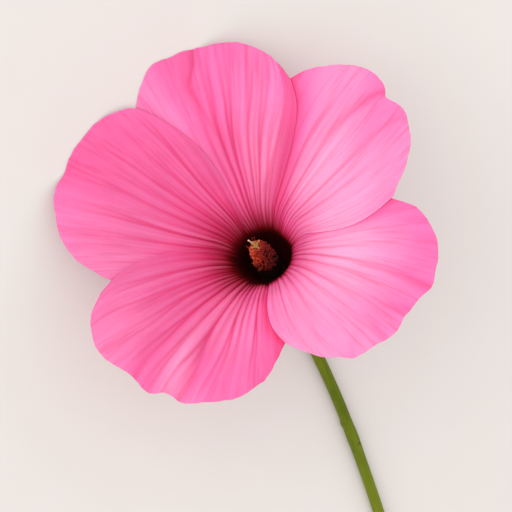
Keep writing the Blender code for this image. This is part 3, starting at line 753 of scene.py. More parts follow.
PETAL_PLANS = (
    PetalPlan(
        "petal_left",
        lead=((0, 139), (12, 131), (25, 122), (44, 119), (62, 123), (78, 129.5)),
        trail=((0, 217), (25, 215), (50, 213)),
        rim=((78, 129.5), (89.2, 135.5), (95.2, 144), (95.7, 153), (95.4, 159), (94.5, 163.5), (95.6, 168.5),
             (92.9, 179), (84.6, 191), (73, 200), (60, 209), (50, 213)),
        waves=2.5, phase=0.3,
        veins=((0.055, 0.4, 0.5), (0.13, 0.4, 0.8), (0.17, 1.0, 0.9), (0.21, 0.3, 0.7), (0.243, 0.8, 0.85),
               (0.289, 0.5, 0.8), (0.31, 0.75, 0.85), (0.363, 0.5, 0.9), (0.42, 0.8, 0.85), (0.47, 0.3, 0.7),
               (0.512, 1.0, 0.9), (0.592, 0.9, 0.85), (0.66, 0.5, 0.7), (0.73, 0.6, 0.7), (0.80, 0.7, 0.7),
               (0.87, 0.5, 0.7), (0.94, 0.4, 0.6)),
        bow=((0.0, -0.10), (0.36, -0.05), (0.45, -0.02), (0.6, 0.0), (0.7, -0.006), (0.8, -0.022),
             (0.9, -0.04), (1.0, -0.065)),
        bow_run=(0.0, 0.12), seed=11,
        eye=((0.0, 13.8), (1.0, 13.8)),
        flush=((0.2, 1.03), (0.36, 0.82)),
        pale_and_painted_light=((0.0, -0.08), (0.25, -0.08), (0.36, 0.02), (0.5, 0.06), (0.8, 0.12)),
        rim_pale_and_painted_light=((0.0, 0.03), (0.2, -0.16), (0.35, -0.2), (0.5, 0.10), (0.75, 0.26)),
        pleats=(1.3, 1.05), marked=1.15,
        folds=(
            Fold(((0.7, 0.36), (1.0, 0.37)), -0.9, 4.0, 6.0, start=0.75, full=1.0, crease_shade=0.1),
            Fold(((0.8, 0.20), (1.0, 0.185)), -0.6, 5.0, 5.0, start=0.8, full=1.0),
        ),
        contact_shade=(0.2, 1.5), brim=(4.5, 0.08), lap_end=138.0,
    ),
    PetalPlan(
        "petal_top",
        lead=((0, 67), (12, 73), (25, 77), (38, 73.5), (54, 71.5), (70, 73), (79, 77)),
        trail=((0, 147), (25, 148), (48, 148)),
        rim=((79, 77), (86, 83), (92.5, 92), (95, 102), (94.8, 105), (97.2, 112), (97, 116.5), (98.6, 122),
             (93.6, 128), (85.5, 135), (70, 143), (58, 147), (48, 148)),
        waves=2.0, phase=0.1,
        veins=((0.03, 0.5, 0.5), (0.10, 0.3, 0.6), (0.15, 0.45, 0.9), (0.215, 0.8, 1.0), (0.245, 0.35, 1.0),
               (0.275, 0.8, 1.0), (0.325, 0.4, 1.0), (0.361, 1.0, 1.0), (0.417, 1.0, 1.0), (0.472, 0.6, 0.9),
               (0.54, 0.3, 0.9), (0.61, 0.6, 0.7), (0.68, 0.7, 0.7), (0.75, 0.6, 0.7), (0.82, 0.6, 0.7),
               (0.89, 0.5, 0.7), (0.95, 0.4, 0.6)),
        bow=((0.0, 0.01), (0.45, -0.005), (0.6, 0.0), (0.7, -0.01), (0.8, -0.035), (0.9, -0.06),
             (1.0, -0.10)),
        bow_run=(0.02, 0.14), seed=23,
        eye=((0.0, 13.8), (1.0, 13.8)),
        flush=((0.0, 1.2), (0.3, 1.33)),
        pale_and_painted_light=((0.02, -0.14), (0.12, 0.36), (0.24, 0.32), (0.42, -0.08), (0.6, 0.24)),
        rim_pale_and_painted_light=((0.0, 0.0), (0.15, 0.10), (0.42, -0.12), (0.56, 0.28)),
        pleats=(1.1, 1.3), marked=1.0,
        folds=(
            Fold(((0.0, 0.37), (0.42, 0.39), (0.5, 0.405), (0.65, 0.418), (0.8, 0.43), (0.88, 0.425),
                  (0.94, 0.38), (1.0, 0.35)), -1.8, 1.6, 3.0, start=0.45, full=0.95, crease_shade=0.6),
            Fold(((0.0, 0.33), (0.5, 0.35), (0.8, 0.37), (0.94, 0.33), (1.0, 0.30)), 0.6, 3.0, 3.0,
                 start=0.6, full=0.9),
            Fold(((0.8, 0.26), (1.0, 0.23)), -0.8, 5.0, 5.0, start=0.85, full=1.0),
        ),
        contact_shade=(0.1, 1.5), brim=(6.4, 0.52),
    ),
    PetalPlan(
        "petal_upper_right",
        lead=((0, 10), (12, 21), (22, 24), (31, 15), (40, 9), (50, 7), (60, 8.5), (70, 11.5)),
        trail=((0, 86), (25, 90), (50, 91)),
        rim=((70, 11.5), (80, 19), (88, 29), (91, 36), (89.5, 43.5), (92.5, 47.5), (93.5, 54),
             (90.5, 61), (83, 73), (74, 82), (62, 88), (50, 91)),
        waves=2.0, phase=0.6,
        veins=((0.04, 0.6, 0.45), (0.12, 0.5, 0.45), (0.20, 0.5, 0.5), (0.274, 1.0, 0.7), (0.32, 0.6, 0.5),
               (0.372, 1.0, 0.85), (0.42, 0.6, 0.5), (0.468, 0.9, 0.7), (0.51, 0.8, 0.5), (0.545, 1.0, 0.9),
               (0.59, 0.5, 0.5), (0.634, 1.0, 0.85), (0.70, 0.8, 0.6), (0.77, 0.7, 0.6), (0.84, 0.6, 0.6),
               (0.92, 0.5, 0.6)),
        bow=((0.0, 0.12), (0.37, 0.055), (0.5, 0.024), (0.6, 0.0), (0.7, -0.025), (0.8, -0.06),
             (0.9, -0.105), (1.0, -0.165)),
        bow_run=(0.2, 0.54), seed=37,
        eye=((0.0, 13.2), (1.0, 13.2)),
        flush=((0.4, 3.0), (0.64, 1.5)),
        pale_and_painted_light=((0.0, 0.83), (0.2, 0.77), (0.3, 0.69), (0.5, 0.86), (0.6, 0.74), (0.75, 0.4)),
        rim_pale_and_painted_light=((0.0, 0.32), (0.2, 0.32), (0.38, 0.12), (0.5, 0.38), (0.7, 0.22)),
        pleats=(0.75, 0.3), marked=0.66,
        folds=(
            Fold(((0.0, 0.70), (0.37, 0.60), (0.5, 0.569), (0.6, 0.545), (0.7, 0.52), (0.8, 0.483),
                  (0.9, 0.434), (0.95, 0.409), (1.0, 0.375)), -2.1, 1.3, 6.0,
                 start=0.4, full=0.95, crease_shade=0.75),
            Fold(((0.0, 0.42), (0.36, 0.394), (0.4, 0.375), (0.6, 0.372), (0.7, 0.369), (0.8, 0.354),
                  (0.9, 0.314), (0.95, 0.295), (1.0, 0.265)), -1.3, 2.0, 4.0,
                 start=0.6, full=1.0, crease_shade=0.35),
        ),
        contact_shade=(1.1, 4.5),
    ),
    PetalPlan(
        "petal_lower_right",
        lead=((0, 284), (15, 281), (32, 278.5), (45, 280.5), (60, 287)),
        trail=((0, 383), (12, 388), (25, 388), (45, 382)),
        rim=((60, 287), (72, 294), (82.5, 303), (88.3, 310), (89.9, 317), (92.2, 321), (90.9, 325),
             (93, 336), (91.3, 347), (83.8, 360), (70.8, 370), (58.3, 378), (45, 382)),
        waves=3.0, phase=0.2,
        veins=((0.066, 0.7, 0.6), (0.11, 0.5, 0.45), (0.147, 1.0, 0.65), (0.218, 0.6, 0.5), (0.276, 0.9, 0.6),
               (0.33, 0.5, 0.5), (0.388, 0.8, 0.6), (0.443, 1.0, 0.7), (0.526, 0.9, 0.75), (0.585, 1.0, 0.85),
               (0.654, 0.9, 0.7), (0.71, 0.7, 0.5), (0.748, 0.8, 0.65), (0.82, 0.6, 0.6), (0.90, 0.6, 0.6)),
        bow=((0.0, 0.20), (0.3, 0.10), (0.4, 0.06), (0.5, 0.024), (0.6, 0.0), (0.7, -0.025), (0.8, -0.05),
             (0.9, -0.08), (1.0, -0.11)),
        bow_run=(0.1, 0.55), seed=41,
        eye=((0.2, 15.2), (0.5, 11.4), (0.8, 10.9)),
        flush=((0.2, 5.0), (0.5, 3.2), (0.8, 2.8)),
        pale_and_painted_light=((0.0, 0.16), (0.22, 0.44), (0.35, 0.56), (0.48, 0.74), (0.6, 0.90), (0.74, 0.97)),
        rim_pale_and_painted_light=((0.0, 0.48), (0.25, 0.46), (0.45, 0.06), (0.8, -0.08)),
        pleats=(0.65, 0.4), marked=0.72,
        folds=(
            Fold(((0.0, 0.78), (0.3, 0.685), (0.4, 0.644), (0.5, 0.609), (0.6, 0.585), (0.7, 0.557),
                  (0.8, 0.533), (0.9, 0.502), (0.95, 0.488), (1.0, 0.478)), -1.9, 1.8, 3.0,
                 start=0.5, full=1.0, crease_shade=0.5),
            Fold(((0.8, 0.43), (1.0, 0.41)), -1.4, 1.8, 1.8, start=0.85, full=0.98, crease_shade=0.3),
            Fold(((0.8, 0.38), (0.9, 0.353), (1.0, 0.325)), -2.0, 2.2, 2.6,
                 start=0.75, full=0.98, crease_shade=0.35),
            Fold(((0.85, 0.29), (0.93, 0.27), (1.0, 0.24)), -1.7, 2.4, 2.4, start=0.82, full=0.98, crease_shade=0.2),
            Fold(((0.85, 0.60), (1.0, 0.59)), -1.4, 3.0, 3.0, start=0.86, full=0.98, crease_shade=0.2),
        ),
        contact_shade=(0.6, 2.5),
    ),
    PetalPlan(
        "petal_lower_left",
        lead=((0, 198), (10, 187), (21, 180.5), (33, 182), (52, 189.5), (67, 197), (78, 204.5)),
        trail=((0, 293), (25, 296), (42, 296)),
        rim=((78, 204.5), (87.5, 213), (93.5, 223), (94, 230), (91.8, 236.5), (95, 244), (91.5, 249),
             (91.8, 256), (89.3, 267), (79.7, 276), (63.8, 284), (50.4, 292), (42, 296)),
        waves=3.0, phase=0.5,
        veins=((0.015, 0.6, 0.6), (0.08, 0.3, 0.6), (0.144, 0.8, 0.85), (0.19, 0.35, 0.7), (0.229, 0.8, 0.85),
               (0.26, 0.4, 0.9), (0.298, 0.9, 0.9), (0.34, 0.3, 0.9), (0.379, 1.0, 0.95), (0.441, 0.9, 0.95),
               (0.50, 1.0, 1.0), (0.54, 0.35, 0.9), (0.585, 0.95, 1.0), (0.628, 0.7, 0.95), (0.67, 0.35, 0.9),
               (0.718, 1.0, 1.0), (0.765, 0.4, 0.8), (0.80, 0.7, 0.8), (0.87, 0.6, 0.7), (0.94, 0.5, 0.6)),
        bow=((0.0, 0.06), (0.3, 0.04), (0.4, 0.02), (0.5, 0.01), (0.6, 0.0), (0.7, -0.011), (0.8, -0.027),
             (0.9, -0.055), (1.0, -0.09)),
        bow_run=(0.02, 0.14), seed=59,
        eye=((0.4, 15.5), (0.6, 17.4), (0.74, 16.4)),
        flush=((0.4, 0.82), (0.52, 1.25), (0.6, 2.1), (0.74, 3.9)),
        pale_and_painted_light=((0.0, 0.0), (0.38, 0.02), (0.48, 0.18), (0.62, 0.26), (0.8, 0.36)),
        rim_pale_and_painted_light=((0.0, 0.04), (0.22, 0.24), (0.36, 0.02), (0.44, 0.42), (0.54, -0.04), (0.78, -0.1)),
        pleats=(1.5, 1.25), marked=1.1,
        folds=(
            Fold(((0.0, 0.56), (0.34, 0.536), (0.4, 0.523), (0.5, 0.5035), (0.7, 0.495), (0.8, 0.49),
                  (0.9, 0.474), (0.95, 0.458), (1.0, 0.438)), -2.2, 1.4, 4.0, start=0.4, full=0.9, crease_shade=0.6),
            Fold(((0.0, 0.44), (0.6, 0.44), (0.8, 0.445), (0.9, 0.43), (1.0, 0.40)), 1.7, 2.2, 2.2,
                 start=0.55, full=0.9),
            Fold(((0.0, 0.378), (0.6, 0.378), (0.8, 0.356), (0.9, 0.335), (1.0, 0.31)), -1.9, 3.2, 2.4,
                 start=0.6, full=0.97, crease_shade=0.35),
            Fold(((0.8, 0.70), (1.0, 0.68)), -0.8, 8.0, 8.0, start=0.85, full=1.0),
        ),
        contact_shade=(1.25, 4.0),
    ),
)


@dataclass
class Veins:
    """Veins of one petal: main veins that fork, with finer ones between them."""

    plan: PetalPlan
    fork_range: tuple[float, float] = (0.45, 0.65)
    fork_spread: float = 0.012
    fork_run: float = 0.4
    sway_share: float = 0.004
    sway_waves: float = 1.7
    sway_phase: float = 6.0
    throat_width: float = 0.42 * MM
    rim_width: float = 0.62 * MM
    past_reach: float = 0.1
    fading: float = 0.5
    fading_power: float = 0.8
    fine_range: tuple[float, float] = (0.1, 0.4)
    fine_places: tuple[float, float] = (0.36, 0.7)
    fine_rise: tuple[float, float] = (0.25, 0.2)
    fine_end: float = 1.15
    fine_width: float = 0.7
    edge_run: float = 0.05
    edge_pillow: float = 0.5
    pillow_run: float = 0.06
    pillow_range: tuple[float, float] = (0.3, 1.1)
    highlight_range: tuple[float, float] = (0.15, 1.0)
    ridge_power: float = 1.3
    past_edge: float = 0.02

    def __post_init__(self) -> None:
        """Draw each vein's own fork and sway, and each pillow's height and the strength of its painted
        highlight.
        """
        draw = np.random.default_rng(self.plan.seed)
        self.at, self.strength, self.reach = np.array(self.plan.veins).T
        self.count = len(self.at)
        self.fork = draw.uniform(*self.fork_range, self.count)
        self.sway = draw.uniform(-1, 1, self.count)
        self.fine = draw.uniform(*self.fine_range, self.count)
        self.highlight_strength = draw.uniform(*self.highlight_range, self.count + 1)

    def swing(self, row: Array, at: Array) -> Array:
        """How far the tissue's lines swing sideways at a row, at columns of row 0.6."""
        low, high = self.plan.bow_run
        share = np.clip((at - low) / (high - low), 0.0, 1.0)
        edges = ease(at / self.edge_run) * ease((1 - at) / self.edge_run)
        return read_off(self.plan.bow, row) * share * edges

    def courses(self, row: Array) -> Array:
        """Columns of the main veins, of shape (rows, veins)."""
        row = row[:, None]
        phase = FULL_TURN * self.sway_waves * row + self.sway_phase * self.at
        return self.at + self.swing(row, self.at[None, :]) + self.sway * self.sway_share * np.sin(phase)

    def masks(self, row: Array, column: Array, width: Array) -> tuple[Array, Array, Array]:
        """Work out where the veins lie on the blade.

        Args:
            row: Rows of the blade's grid, from 0 to 1.
            column: Columns of the blade's grid, from 0 to 1.
            width: Width of the blade at each row, in metres.

        Returns:
            The mask of the veins' colour, the swell of the tissue between main veins, and the
            mask of its ridges, which carries their painted highlight, each of shape (rows, columns).
        """
        courses = self.courses(row)
        line = blend(self.throat_width, self.rim_width, row)[:, None]
        lines = []
        for vein in range(self.count):
            lasting = np.clip((self.reach[vein] + self.past_reach - row) / self.fading, 0.0, 1.0)
            lasting = lasting**self.fading_power
            split = self.fork_spread * rise(row, self.fork[vein], self.fork_run)
            for side in (-1.0, 1.0):
                lines.append((courses[:, vein] + side * split, self.strength[vein] * lasting, line))
        for vein in range(self.count - 1):
            shown = self.fine[vein] * rise(row, *self.fine_rise) * np.clip(self.fine_end - row, 0.0, 1.0)
            for share in self.fine_places:
                course = blend(courses[:, vein], courses[:, vein + 1], share)
                lines.append((course, shown, self.fine_width * line))
        mask = np.zeros((len(row), len(column)))
        for course, strength, thickness in lines:
            away = (column[None, :] - course[:, None]) * width[:, None]
            mask = np.maximum(mask, strength[:, None] * bell(away, thickness))
        swell, ridge = self._swell(courses, column)
        return mask, swell, ridge

    def _swell(self, courses: Array, column: Array) -> tuple[Array, Array]:
        """Pillow between each pair of main veins, 0 at a vein and 1 midway, and the mask of its painted ridge
        highlight.
        """
        swell = np.zeros((len(courses), len(column)))
        ridge = np.zeros_like(swell)
        between = np.clip(np.diff(self.at) / self.pillow_run, *self.pillow_range)
        height = np.concatenate([[self.edge_pillow], between, [self.edge_pillow]])
        for place, course in enumerate(courses):
            knots = np.concatenate([[-self.past_edge], course, [1 + self.past_edge]])
            interval = np.clip(np.searchsorted(knots, column, side="right") - 1, 0, len(knots) - 2)
            share = (column - knots[interval]) / (knots[interval + 1] - knots[interval])
            middle = np.clip(1 - np.abs(2 * share - 1), 0.0, 1.0)
            swell[place] = height[interval] * (1 - (1 - middle) ** 2)
            ridge[place] = self.highlight_strength[interval] * middle**self.ridge_power
        return swell, ridge


@dataclass
class Petal:
    """One petal of the bloom, as a thin blade with pleats, folds and veins.

    A field whose name ends in rise has the place where something starts and the run it grows over.
    """

    index: int
    bloom: Bloom
    funnel: Funnel
    first_seat: float = 179.0 * DEG
    thickness: float = 0.55 * MM
    resting: float = 0.35 * MM
    margin_share: float = 0.4
    margin_run: float = 0.06
    margin_levels: int = 12
    rows: int = 150
    columns: int = 210
    row_crowding: float = 1.35
    shaping_start: float = 0.3
    shaping_power: float = 1.5
    crimp: tuple[float, float] = (0.22 * MM, 9.0)
    ruffle_depth: float = 0.8 * MM
    ruffle_power: int = 3
    ruffle_growth: int = 4
    flutter: tuple[float, float] = (0.45 * MM, 5.0)
    flutter_power: int = 7
    flutter_growth: int = 6
    fold_power: float = 1.4
    pleat_depth: float = 0.85 * MM
    pleat_rise: tuple[float, float] = (9.0 * MM, 11.0 * MM)
    pleat_full: float = 20.0 * MM
    pleat_fade: float = 22.0 * MM
    pleat_far_rise: tuple[float, float] = (0.34, 0.26)
    groove_depth: float = 0.12 * MM
    groove_rise: tuple[float, float] = (9.0 * MM, 20.0 * MM)
    cover_ease: float = 9.0 * DEG
    press_softness: float = 0.6 * MM
    lead_gap: float = 0.55 * MM
    held_run: float = 4.0 * MM
    rim_curl: float = 0.9 * MM
    rim_curl_start: float = 0.9
    rim_curl_mean: float = 0.5
    rim_curl_swing: float = 0.7
    rim_curl_waves: float = 2.0
    lap_rise: float = 1.5 * MM
    lap_ease: float = 9.0 * DEG
    line_width: float = 0.9
    pale_rise: tuple[float, float] = (0.28, 0.29)
    rim_tone_rise: tuple[float, float] = (0.6, 0.4)
    painted_fold_shading: float = 0.09
    contact_shade_rise: tuple[float, float] = (0.25, 0.2)
    brim_shade_rise: tuple[float, float] = (0.35, 0.2)
    brim_end_rise: tuple[float, float] = (0.85, 0.2)

    def __post_init__(self) -> None:
        """Look up the petal's own plan, and the angle from one petal to the next."""
        self.plan = PETAL_PLANS[self.index]
        self.step = FULL_TURN / len(PETAL_PLANS)

    @staticmethod
    def edge_angle(edge: Curve, length: Array) -> Array:
        """Angle of a side edge at a length along the blade."""
        return np.radians(read_off(edge, length / MM))

    def layout(self) -> tuple[Array, Array, Array, Array]:
        """Lay out the blade's grid: lengths and angles of its points, rows and columns from 0 to 1."""
        row = np.linspace(0.0, 1.0, self.rows + 1)[:, None]
        column = np.linspace(0.0, 1.0, self.columns + 1)[None, :]
        rim = smooth_curve(self.plan.rim, column[0])
        crimp, waves = self.crimp
        rim_length = rim[:, 0] * MM + crimp * ripple(self.plan.seed + 1, column[0], waves)
        rim_angle = np.radians(rim[:, 1])
        shaping = np.clip((row - self.shaping_start) / (1 - self.shaping_start), 0, 1) ** self.shaping_power
        full = self.funnel.petal_length
        length = full * row**self.row_crowding + (rim_length - full) * shaping
        lead = self.edge_angle(self.plan.lead, length[:, 0])[:, None]
        trail = self.edge_angle(self.plan.trail, length[:, -1])[:, None]
        rim_shift = rim_angle - blend(rim_angle[0], rim_angle[-1], column[0])
        return length, blend(lead, trail, column) + rim_shift * row, row, column

    def uncovered(self, length: Array, angle: Array) -> Array:
        """Angle from each point to the edge of the petal before it, which covers the trail side."""
        cover = self.edge_angle(PETAL_PLANS[self.index - 1].lead, length)
        cover = cover + FULL_TURN * np.round((angle[:, -1:] - cover) / FULL_TURN)
        return cover - angle

    def fold_lift(self, row: Array, column: Array, width: Array) -> tuple[Array, Array]:
        """Heights of the petal's larger folds, and the painted shade along their crease lines."""
        lift = np.zeros((len(row), column.shape[1]))
        crease_shade = np.zeros_like(lift)
        for fold in self.plan.folds:
            away = (column - read_off(fold.path, row)) * width[:, None] / MM
            slope = np.where(away < 0, fold.lead_width, fold.trail_width)
            grown = rise(row, fold.start, fold.full - fold.start)
            lift += fold.height * MM * grown * np.exp(-(np.abs(away) / slope) ** self.fold_power)
            crease_shade = np.maximum(crease_shade, fold.crease_shade * grown * bell(away, self.line_width))
        return lift, crease_shade

    def pleat_lift(self, length: Array, row: Array) -> Array:
        """Height of a full pleat, which grows past the throat and fades towards the rim."""
        near, far = self.plan.pleats
        depth = self.pleat_depth * blend(near, far, rise(row, *self.pleat_far_rise))
        fading = np.exp(-np.clip(length - self.pleat_full, 0, None) / self.pleat_fade)
        return depth * rise(length, *self.pleat_rise) * fading

    def rim_lift(self, row: Array, column: Array, bare: Array, held: Array) -> Array:
        """Height of the rim's slow ruffles and quick flutter, less its curl."""
        flutter, waves = self.flutter
        ruffle = np.sin(FULL_TURN * (self.plan.waves * column + self.plan.phase))
        lift = self.ruffle_depth * ruffle * row**self.ruffle_power * ease(column * self.ruffle_growth) * bare
        quick = ripple(self.plan.seed + 3, column, waves)
        lift = lift + flutter * quick * row**self.flutter_power * ease(column * self.flutter_growth) * bare
        wave = ripple(self.plan.seed + 2, column, self.rim_curl_waves)
        curl = ease(self.rim_curl_mean + self.rim_curl_swing * wave)
        edge = np.clip((row - self.rim_curl_start) / (1 - self.rim_curl_start), 0, 1) ** 2
        return lift - self.rim_curl * edge * curl * held

    def press(self, places: Array, angle: Array) -> None:
        """Press the points that would sink below the surface, or the petal there, softly onto it."""
        over = 1 - rise(angle, self.plan.lap_end * DEG, self.lap_ease)
        floor = self.resting + self.lap_rise * over
        above = np.clip(places[..., 2] - floor, -self.press_softness, None)
        eased = (above + self.press_softness) ** 2 / (4 * self.press_softness)
        places[..., 2] = floor + np.where(above < self.press_softness, eased, above)

    def tones(self, length: Array, row: Array, column: Array) -> tuple[Array, Array]:
        """How far the eye's flush has turned to pink, and the paleness of the petal, partly its own tone and
        partly painted light and shade, at each point.
        """
        past = (length - level_at(self.plan.eye, column) * MM) / PATTERN_UNIT
        towards_rim = rise(row, *self.rim_tone_rise)
        pale_and_painted_light = blend(level_at(self.plan.pale_and_painted_light, column), level_at(self.plan.rim_pale_and_painted_light, column), towards_rim)
        return past * level_at(self.plan.flush, column), pale_and_painted_light * rise(row, *self.pale_rise)

    def build(self, finish: PetalFinish) -> None:
        """Make the petal with its thickness, thinner at the margin, and settle it."""
        length, angle, row, column = self.layout()
        width = np.abs(angle[:, -1] - angle[:, 0]) * self.funnel.radius_at(length.mean(axis=1))
        uncovered = self.uncovered(length, angle)
        from_lead = column * width[:, None]
        bare = ease(uncovered / self.cover_ease)
        held = bare * ease(from_lead / self.held_run)
        veins = Veins(self.plan)
        vein, swell, ridge = veins.masks(row[:, 0], column[0], width)
        fold, crease_shade = self.fold_lift(row, column, width)

        seat = (self.first_seat - self.step * self.index) % FULL_TURN
        stack = self.funnel.stack_step(length)
        lift = stack * (seat - angle) / self.step
        lift = lift + self.pleat_lift(length, row) * swell * held
        lift = lift - self.groove_depth * vein * rise(length, *self.groove_rise)
        lift = lift + self.rim_lift(row, column, bare, held) + fold * held
        strip, strip_shade = self.plan.brim
        brim = np.clip(from_lead / (strip * MM), 0, 1)
        lift = lift - np.clip(stack - self.lead_gap, 0, None) * (1 - (brim + ease(brim)) / 2)
        places = self.bloom.placed(self.funnel.points(length, angle, lift))
        self.press(places, angle)

        side = np.minimum(column, 1 - column) / self.margin_run
        flesh = np.minimum(np.minimum(side, (1 - row) / self.margin_run), 1.0)
        # Painted shade on the lead edge's turned strip.
        in_brim = 1 - rise(from_lead / (strip * MM), *self.brim_end_rise)
        brim_shade = strip_shade * in_brim * rise(row, *self.brim_shade_rise)
        flush, pale_and_painted_light = self.tones(length, row, column)
        # Painted shade on the bare part beside the edge of the petal that covers this one.
        tone, run = self.plan.contact_shade
        from_cover = np.clip(uncovered, 0, None) * self.funnel.radius_at(length)
        shadow = tone * np.exp(-from_cover / (run * MM)) * rise(row, *self.contact_shade_rise)
        # The vein mark also carries the painted shade along fold creases and on the turned lead strip; the
        # paleness mark gets painted highlight on fold ridges, painted shade in fold valleys, and painted
        # shade beside covering edges.
        marks = {
            "vein": np.maximum(np.maximum(vein, crease_shade), brim_shade), "ridge": ridge, "flesh": flesh,
            "flush": flush, "pale_and_painted_light": pale_and_painted_light + self.painted_fold_shading * fold / MM - shadow,
        }
        across = column - veins.swing(row, column) + 0 * length
        name = self.plan.node + "_blade"
        piece = Lattice(name, places, across, length / PATTERN_UNIT, marks).build()
        self._thicken(piece)
        settle(piece, self.plan.node, finish.material(name, self.plan))

    def _thicken(self, piece: Piece) -> None:
        """Give the blade its thickness, which tapers towards the margin."""
        flesh = np.zeros(len(piece.data.vertices), dtype=np.float32)
        piece.data.attributes["flesh"].data.foreach_get("value", flesh)
        group = piece.vertex_groups.new(name="flesh_share")
        steps = np.rint(flesh * self.margin_levels).astype(int)
        for level in range(self.margin_levels + 1):
            group.add(np.nonzero(steps == level)[0].tolist(), level / self.margin_levels, "REPLACE")
        solid = thicken(piece, self.thickness)
        solid.vertex_group = group.name
        solid.thickness_vertex_group = self.margin_share
        solid.use_even_offset = False


@dataclass
class Calyx:
    """Green cup behind the petals, with five pointed lobes."""

    bloom: Bloom
    funnel: Funnel
    thickness: float = 0.75 * MM
    segments: int = 180
    rows: int = 60
    floor: float = -3.0 * MM
    floor_radius: float = 4.8 * MM
    heel_radius: float = 7.5 * MM
    heel: float = -2.4 * MM
    sinus: float = 16.0 * MM
    lobe: float = 37.0 * MM
    lobe_power: float = 1.2
    first_lobe: float = 143.0 * DEG
    lobes: int = 5
    room: float = 1.35 * MM
    stack_reach: float = 0.82
    rib_height: float = 0.28 * MM
    rib_growth: int = 4
    rib_width: float = 0.05
    side_rib_at: float = 0.5
    side_rib_width: float = 0.045
    side_rib_share: float = 0.6
    seam_share: float = 0.7
    floor_rows: int = 6
    heel_rows: int = 4
    heel_start: float = 0.2

    def ribs(self, off_middle: Array, share: Array) -> Array:
        """Mask of the ribs: each lobe's middle one, a pair beside it that meets its tip, and the seams."""
        side = bell(off_middle - self.side_rib_at * (1 - share**2), self.side_rib_width)
        seam = bell(off_middle - 1.0, self.rib_width)
        middle = bell(off_middle, self.rib_width)
        return np.maximum(np.maximum(middle, self.side_rib_share * side), self.seam_share * seam)

    def build(self, finish: GreenFinish) -> None:
        """Make the cup from its floor out to its lobes, and settle it."""
        angle = FULL_TURN * np.arange(self.segments + 1)[None, :] / self.segments
        turn = (angle - self.first_lobe) * self.lobes / FULL_TURN
        off_middle = np.abs(turn - np.round(turn)) * 2
        share = np.linspace(0.0, 1.0, self.rows)[:, None]
        length = share * (self.sinus + (self.lobe - self.sinus) * (1 - off_middle) ** self.lobe_power)
        ribs = self.ribs(off_middle, share)
        room = self.stack_reach * self.funnel.stack_step(length) + self.room
        lift = -room - self.rib_height * ribs * ease(share * self.rib_growth)
        limb = self.funnel.points(length, angle + 0 * length, lift)
        floor = np.linspace(0.0, 1.0, self.floor_rows)[:, None]
        rim = np.linspace(self.heel_start, 1.0, self.heel_rows)[:, None]
        radius = np.concatenate([floor * self.floor_radius, blend(self.floor_radius, self.heel_radius, rim)])
        height = np.concatenate([floor * 0 + self.floor, blend(self.floor, self.heel, rim)])
        base = np.stack([radius * np.cos(angle), radius * np.sin(angle), height + 0 * angle], axis=-1)
        places = self.bloom.placed(np.concatenate([base, limb]))
        none = 0 * base[..., 0]
        along = np.concatenate([none, length]) / PATTERN_UNIT
        marks = {"rib": np.concatenate([none, ribs])}
        across = np.broadcast_to(angle / FULL_TURN, along.shape)
        piece = Lattice("calyx_cup", places, across, along, marks, around=True).build()
        thicken(piece, self.thickness)
        settle(piece, "calyx", finish.material("calyx_cup"))


def grow_stalk(shape: Shape, centres: list[Vector], radii: list[float], sides: int) -> list[Vert]:
    """Extrude a closed round stalk through centres, ring by ring.

    Args:
        shape: The mesh that the stalk is added to.
        centres: Points that the stalk passes through, from its root to its tip.
        radii: Radius at each centre.
        sides: Faces round the stalk.

    Returns:
        The stalk's vertices.
    """
    frames = []
    for place, centre in enumerate(centres):
        along = centres[min(place + 1, len(centres) - 1)] - centres[max(place - 1, 0)]
        turn = Vector((0, 0, 1)).rotation_difference(along).to_matrix().to_4x4()
        size = Matrix.Diagonal((radii[place], radii[place], 1.0, 1.0))
        frames.append(Matrix.Translation(centre) @ turn @ size)
    ring = bmesh.ops.create_circle(shape, cap_ends=True, segments=sides, radius=1.0)["verts"]
    bmesh.ops.transform(shape, matrix=frames[0], verts=ring)
    grown = list(ring)
    cap = ring[0].link_faces[0]
    for before, after in zip(frames, frames[1:]):
        made = bmesh.ops.extrude_face_region(shape, geom=[cap])["geom"]
        tip = [item for item in made if isinstance(item, Vert)]
        cap = next(item for item in made if isinstance(item, bmesh.types.BMFace))
        bmesh.ops.transform(shape, matrix=after @ before.inverted(), verts=tip)
        grown += tip
    return grown


def spun(shape: Shape, outline: list[tuple[float, float]], segments: int) -> list[Vert]:
    """Turn an outline of radius and height about Z.

    Args:
        shape: The mesh that the turned body is added to.
        outline: Points of radius and height. A point at radius 0 closes the body there.
        segments: Faces round the axis.

    Returns:
        The body's vertices.
    """
    before = set(shape.verts)
    line = [shape.verts.new((radius, 0.0, height)) for radius, height in outline]
    edges = [shape.edges.new(pair) for pair in zip(line, line[1:])]
    bmesh.ops.spin(
        shape, geom=line + edges, cent=(0, 0, 0), axis=(0, 0, 1), angle=FULL_TURN,
        steps=segments, use_merge=True, use_duplicate=False,
    )
    made = [vert for vert in shape.verts if vert not in before]
    bmesh.ops.remove_doubles(shape, verts=made, dist=MERGE_DISTANCE)
    return [vert for vert in shape.verts if vert not in before]


def rounded(outline: Curve, steps: int) -> list[tuple[float, float]]:
    """Outline in millimetres, read again at even steps along a smooth curve through its points."""
    return [tuple(point * MM) for point in smooth_curve(outline, np.linspace(0, 1, steps))]


def lean_over(shape: Shape) -> None:
    """Lean the top of the column and its style over, with the foot left where it is."""
    for vert in shape.verts:
        vert.co += COLUMN_LEAN * max(0.0, vert.co.z / COLUMN_HEIGHT) ** 2


